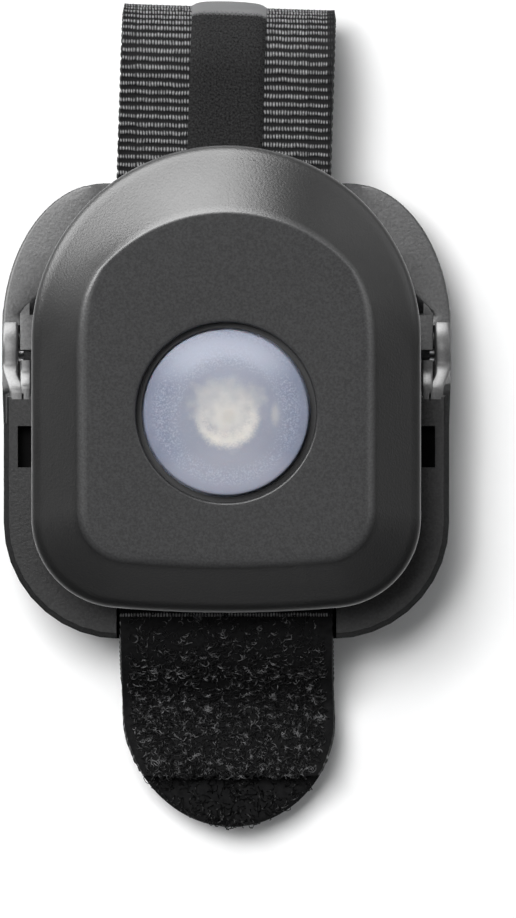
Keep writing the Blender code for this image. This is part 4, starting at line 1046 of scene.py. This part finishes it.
def beyond(tree, edge):
    """A mask of the strap right of a line along it, in millimetres from its middle."""
    parts = add_node(tree, "SeparateXYZ", {0: place_in(tree, "UV")}).outputs
    return reckon("GREATER_THAN", parts["X"], edge)


webbing_look, webbing_tree, webbing_shader = fresh_material("black_webbing", 0.6, Specular_IOR_Level=0.03)
weaves = []
for yarn, narrow in ((YARN_PITCH, 2.2), (SELVAGE_YARN, 3.2)):
    sizes = {"Row": RIB_PITCH / MM, "Yarn": yarn, "Narrow": narrow}
    weaves.append(add_node(webbing_tree, "Group", sizes, node_tree=RIBBED_WEAVE).outputs)
body_mask = without(*(beyond(webbing_tree, edge) for edge in (LEFT_SELVAGE, RIGHT_SELVAGE)))


def body_or_selvage(body, selvage):
    """The woven body's value inside the selvages, and the selvage's own outside."""
    return add_node(webbing_tree, "Mix", {0: body_mask, 2: selvage, 3: body}).outputs[0]


webbing_tone = body_or_selvage(*(remapped(weave["Beads"], 0.15, 0.85) for weave in weaves))
webbing_height = body_or_selvage(*(weave["Height"] for weave in weaves))
webbing_colour = two_tone(webbing_tone, (0.006, 0.006, 0.0065), (0.38, 0.38, 0.385))
# Painted shade: the strap's right edge, past a line along it, painted near black.
right_edge_shade = beyond(webbing_tree, RIGHT_SHADE_FROM)
webbing_colour = laid_over(webbing_colour, right_edge_shade, (0.006, 0.006, 0.0065), 0.9)
surfaced(webbing_shader, webbing_colour, webbing_height, 0.7, 0.1 * MM)
webbing = laid_sheet("webbing", webbing_stations(), 2 * STRAP_HALF - RIB_DEPTH, 75, webbing_look)
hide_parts("strap_band")
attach(webbing, "base")


# Grip strip: a narrow band of soft black rubber printed along the middle of the strap's outer face,
# from under the lamp to the fold. Over the fold it is crowned and painted grey as a painted sheen.
GRIP_HALF_WIDTH = 3.55 * MM
GRIP_RISE = 0.3 * MM
GRIP_CROWN = 0.2 * MM
GRIP_WALL = 0.25 * MM
GRIP_FLAT = 8
GRIP_COLUMNS = 20
GRIP_ROWS = 120
GRIP_FROM = 24.6 * MM
GRIP_TURN = 0.75
GRIP_CAP_FROM = FOLD_START + 5.9 * MM
GRIP_SHEEN_SPAN = (GRIP_CAP_FROM / MM + 0.4, GRIP_CAP_FROM / MM + 1.0)
grip_start = FOLD_START - (FOLD_Y - GRIP_FROM)
grip_end = FOLD_START + pi * FOLD_RADIUS * GRIP_TURN
grip_rows = []
for along in spaced(grip_start, grip_end, GRIP_ROWS):
    crown = GRIP_CROWN * eased((along - GRIP_CAP_FROM) / MM)

    def grip_rise(_, across):
        return STRAP_HALF + GRIP_RISE * (1 - across**GRIP_FLAT) + crown * (1 - across**2)

    grip_rows.append((strap_row(*strap_spot(along), GRIP_HALF_WIDTH, GRIP_COLUMNS, grip_rise), along))
grip_look, grip_tree, grip_shader = fresh_material("grip_rubber", 0.7, Specular_IOR_Level=0.04)
grip_place = place_in(grip_tree, "UV")
grip_along = add_node(grip_tree, "SeparateXYZ", {0: grip_place}).outputs["Y"]
grip_fuzz = noise(grip_place, 5.0, 4.0, 0.7)
# Painted sheen: the grip painted grey where it turns over the fold.
grip_fold_sheen = remapped(reckon("ADD", grip_along, grip_fuzz), *GRIP_SHEEN_SPAN)
grip_specks = remapped(grip_fuzz, 0.35, 0.65)
grip_colour = two_tone(grip_specks, (0.001, 0.001, 0.0011), (0.030, 0.030, 0.0305))
grip_colour = laid_over(grip_colour, grip_fold_sheen, (0.25, 0.25, 0.253), 0.85)
surfaced(grip_shader, grip_colour, grip_fuzz, 0.6, 0.06 * MM)
grip_band = laid_sheet("grip_band", grip_rows, GRIP_WALL, 60, grip_look)
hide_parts("grip_strip")
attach(grip_band, "base")


# Pile panel: knitted loop pile on the strap's front end. A black ground carries uneven rows of
# curled fibre, dark but for a few painted lighter as painted glints, and ends in a ragged cut.
PILE_FROM = -19.3 * MM
PILE_SEED = 7
PILE_ROWS = (-23.9, -26.4, -28.7, -29.5, -31.0, -32.6, -33.6, -34.3)
ROW_LOOPS = 170
LOOSE_LOOPS = 1500
ROW_JITTER = 0.55 * MM
LOOP_STEPS = 6
LOOP_START, LOOP_END = radians(-25), radians(205)
ROW_LOOP_SIZES = (0.2 * MM, 0.5 * MM)
LOOSE_LOOP_SIZES = (0.2 * MM, 0.45 * MM)
LOOP_LEAN = 1.3
FIBRE_RADIUS = 0.045 * MM
PILE_COLUMNS = 60
PILE_STEPS = 100
PILE_SIDE = 0.8 * MM
PILE_LIFT = 0.25 * MM
PILE_WALL = 0.2 * MM


def strap_length_to(y):
    """Length along the strap's front part at which it reaches a place."""
    i = next(i for i, (reach, _) in enumerate(STRAP_LINE[1:]) if reach >= y)
    low, high = STRAP_LINE[i][0], STRAP_LINE[i + 1][0]
    return REACHES[i] + (REACHES[i + 1] - REACHES[i]) * (y - low) / (high - low)


pile_end = strap_length_to(PILE_FROM)
pile_rows = []
for along in spaced(0, pile_end, PILE_STEPS):
    middle, up = strap_spot(along)
    half = strap_half_width(middle.y)
    row = strap_row(middle, up, half, PILE_COLUMNS, lambda *_: STRAP_HALF + PILE_LIFT)
    pile_rows.append((row, along))
PILE_KNIT = speckled_material(
    "pile_knit", (0.003, 0.003, 0.0032), (0.017, 0.017, 0.0174), 2500.0, 0.9, Specular_IOR_Level=0.02
)
pile_ground = laid_sheet("pile_ground", pile_rows, PILE_WALL, 60, PILE_KNIT)


def curl(middle, up, turn, size, lean):
    """Rings of points round one small loop of fibre."""
    side = Vector((cos(turn), sin(turn), 0))
    side = (side - up * side.dot(up)).normalized()
    tilt = (up * cos(lean) + side.cross(up) * sin(lean)).normalized()
    flat = side.cross(tilt)
    rings = []
    for a in spaced(LOOP_START, LOOP_END, LOOP_STEPS - 1):
        spoke = side * cos(a) + tilt * sin(a)
        centre = middle + spoke * size
        rings.append([centre + offset * FIBRE_RADIUS for offset in (spoke, flat, -spoke, -flat)])
    return rings


def fibre_mesh(name, curls):
    """One mesh of many curls, each a closed tube with four sides."""
    points = []
    faces = []
    for rings in curls:
        first = len(points)
        last = first + 4 * (LOOP_STEPS - 1)
        points += [point for ring in rings for point in ring]
        for low in range(first, last, 4):
            faces += [(low + j, low + (j + 1) % 4, low + 4 + (j + 1) % 4, low + 4 + j) for j in range(4)]
        faces += [(first + 3, first + 2, first + 1, first), (last, last + 1, last + 2, last + 3)]
    mesh = bpy.data.meshes.new(name)
    mesh.from_pydata(points, [], faces)
    thing = bpy.data.objects.new(name, mesh)
    scene.collection.objects.link(thing)
    face_out(thing)
    smooth(thing, 80)
    return thing


def pile_curl(along, size):
    """A curl at a random place across the pile, at a length along the strap."""
    middle, up = strap_spot(along)
    x = (strap_half_width(middle.y) - PILE_SIDE) * (2 * draws.random() - 1)
    base = middle + Vector((x, 0, 0)) + up * (STRAP_HALF + PILE_LIFT)
    turn = draws.uniform(0, 2 * pi)
    lean = draws.uniform(-LOOP_LEAN, LOOP_LEAN)
    return curl(base + strap_shift(base), up, turn, size, lean)


draws = random.Random(PILE_SEED)
pile_curls = []
for y in PILE_ROWS:
    for _ in range(ROW_LOOPS):
        along = max(0.0, draws.gauss(strap_length_to(y * MM), ROW_JITTER))
        pile_curls.append(pile_curl(along, draws.uniform(*ROW_LOOP_SIZES)))
for _ in range(LOOSE_LOOPS):
    pile_curls.append(pile_curl(pile_end * draws.random(), draws.uniform(*LOOSE_LOOP_SIZES)))
pile_loops = fibre_mesh("pile_loops", pile_curls)


def fibre_material(name, dark, light, share):
    """Shiny synthetic fibre, dark, with a share of it painted lighter as painted glints."""
    material, tree, shader = fresh_material(name, 0.35, Specular_IOR_Level=0.1)
    wander = noise(place_in(tree), 1400.0, 2.0)
    glinting_few = remapped(wander, 1 - share, 1.15 - share)
    link(two_tone(glinting_few, dark, light), shader.inputs["Base Color"])
    return material


PILE_YARN = fibre_material("pile_yarn", (0.009, 0.009, 0.0094), (0.14, 0.14, 0.143), 0.46)
pile_loops.data.materials.append(PILE_YARN)
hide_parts("loop_panel")
for thing in (pile_ground, pile_loops):
    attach(thing, "base")


# Hook patch: woven hook tape sewn on the inside of the tail and cut with it, where the pile closes.
# Short stiff hooks stand all over its black ground.
HOOK_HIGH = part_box("hook_patch")[1]
HOOK_SEED = 11
HOOK_COUNT = 260
HOOK_SIZES = (0.25 * MM, 0.55 * MM)
HOOK_COLUMNS = 40
HOOK_STEPS = 60
HOOK_SIDE = 0.12 * MM
HOOK_DROP = 0.8 * MM
HOOK_FALL = 10
HOOK_UP = Vector((0, 0, 1))
hook_rows = []
for a in spaced(0, pi / 2, HOOK_STEPS):
    y = HOOK_HIGH.y + (STRAP_TAIL_TIP - HOOK_SIDE - HOOK_HIGH.y) * sin(a)
    half = strap_half_width(y + HOOK_SIDE) + HOOK_SIDE
    middle = Vector((0, y, HOOK_HIGH.z + tail_lift(y)))
    row = strap_row(
        middle, HOOK_UP, half, HOOK_COLUMNS, lambda _, across: -HOOK_DROP * abs(across) ** HOOK_FALL
    )
    hook_rows.append((row, -y))
hook_tape = laid_sheet("hook_tape", hook_rows, None, 60, PILE_KNIT)
face_out(hook_tape)
draws = random.Random(HOOK_SEED)
hook_curls = []
while len(hook_curls) < HOOK_COUNT:
    y = draws.uniform(STRAP_TAIL_TIP, STRAP_FRONT_END + MM)
    x = draws.uniform(-1, 1) * strap_half_width(y)
    base = Vector((x, y, HOOK_HIGH.z + tail_lift(y)))
    turn = draws.uniform(0, 2 * pi)
    size = draws.uniform(*HOOK_SIZES)
    lean = draws.uniform(-1, 1)
    hook_curls.append(curl(base + strap_shift(base), HOOK_UP, turn, size, lean))
tape_hooks = fibre_mesh("tape_hooks", hook_curls)
HOOK_YARN = fibre_material("hook_yarn", (0.003, 0.003, 0.0032), (0.022, 0.022, 0.0225), 0.42)
tape_hooks.data.materials.append(HOOK_YARN)
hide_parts("hook_patch")
for thing in (hook_tape, tape_hooks):
    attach(thing, "base")
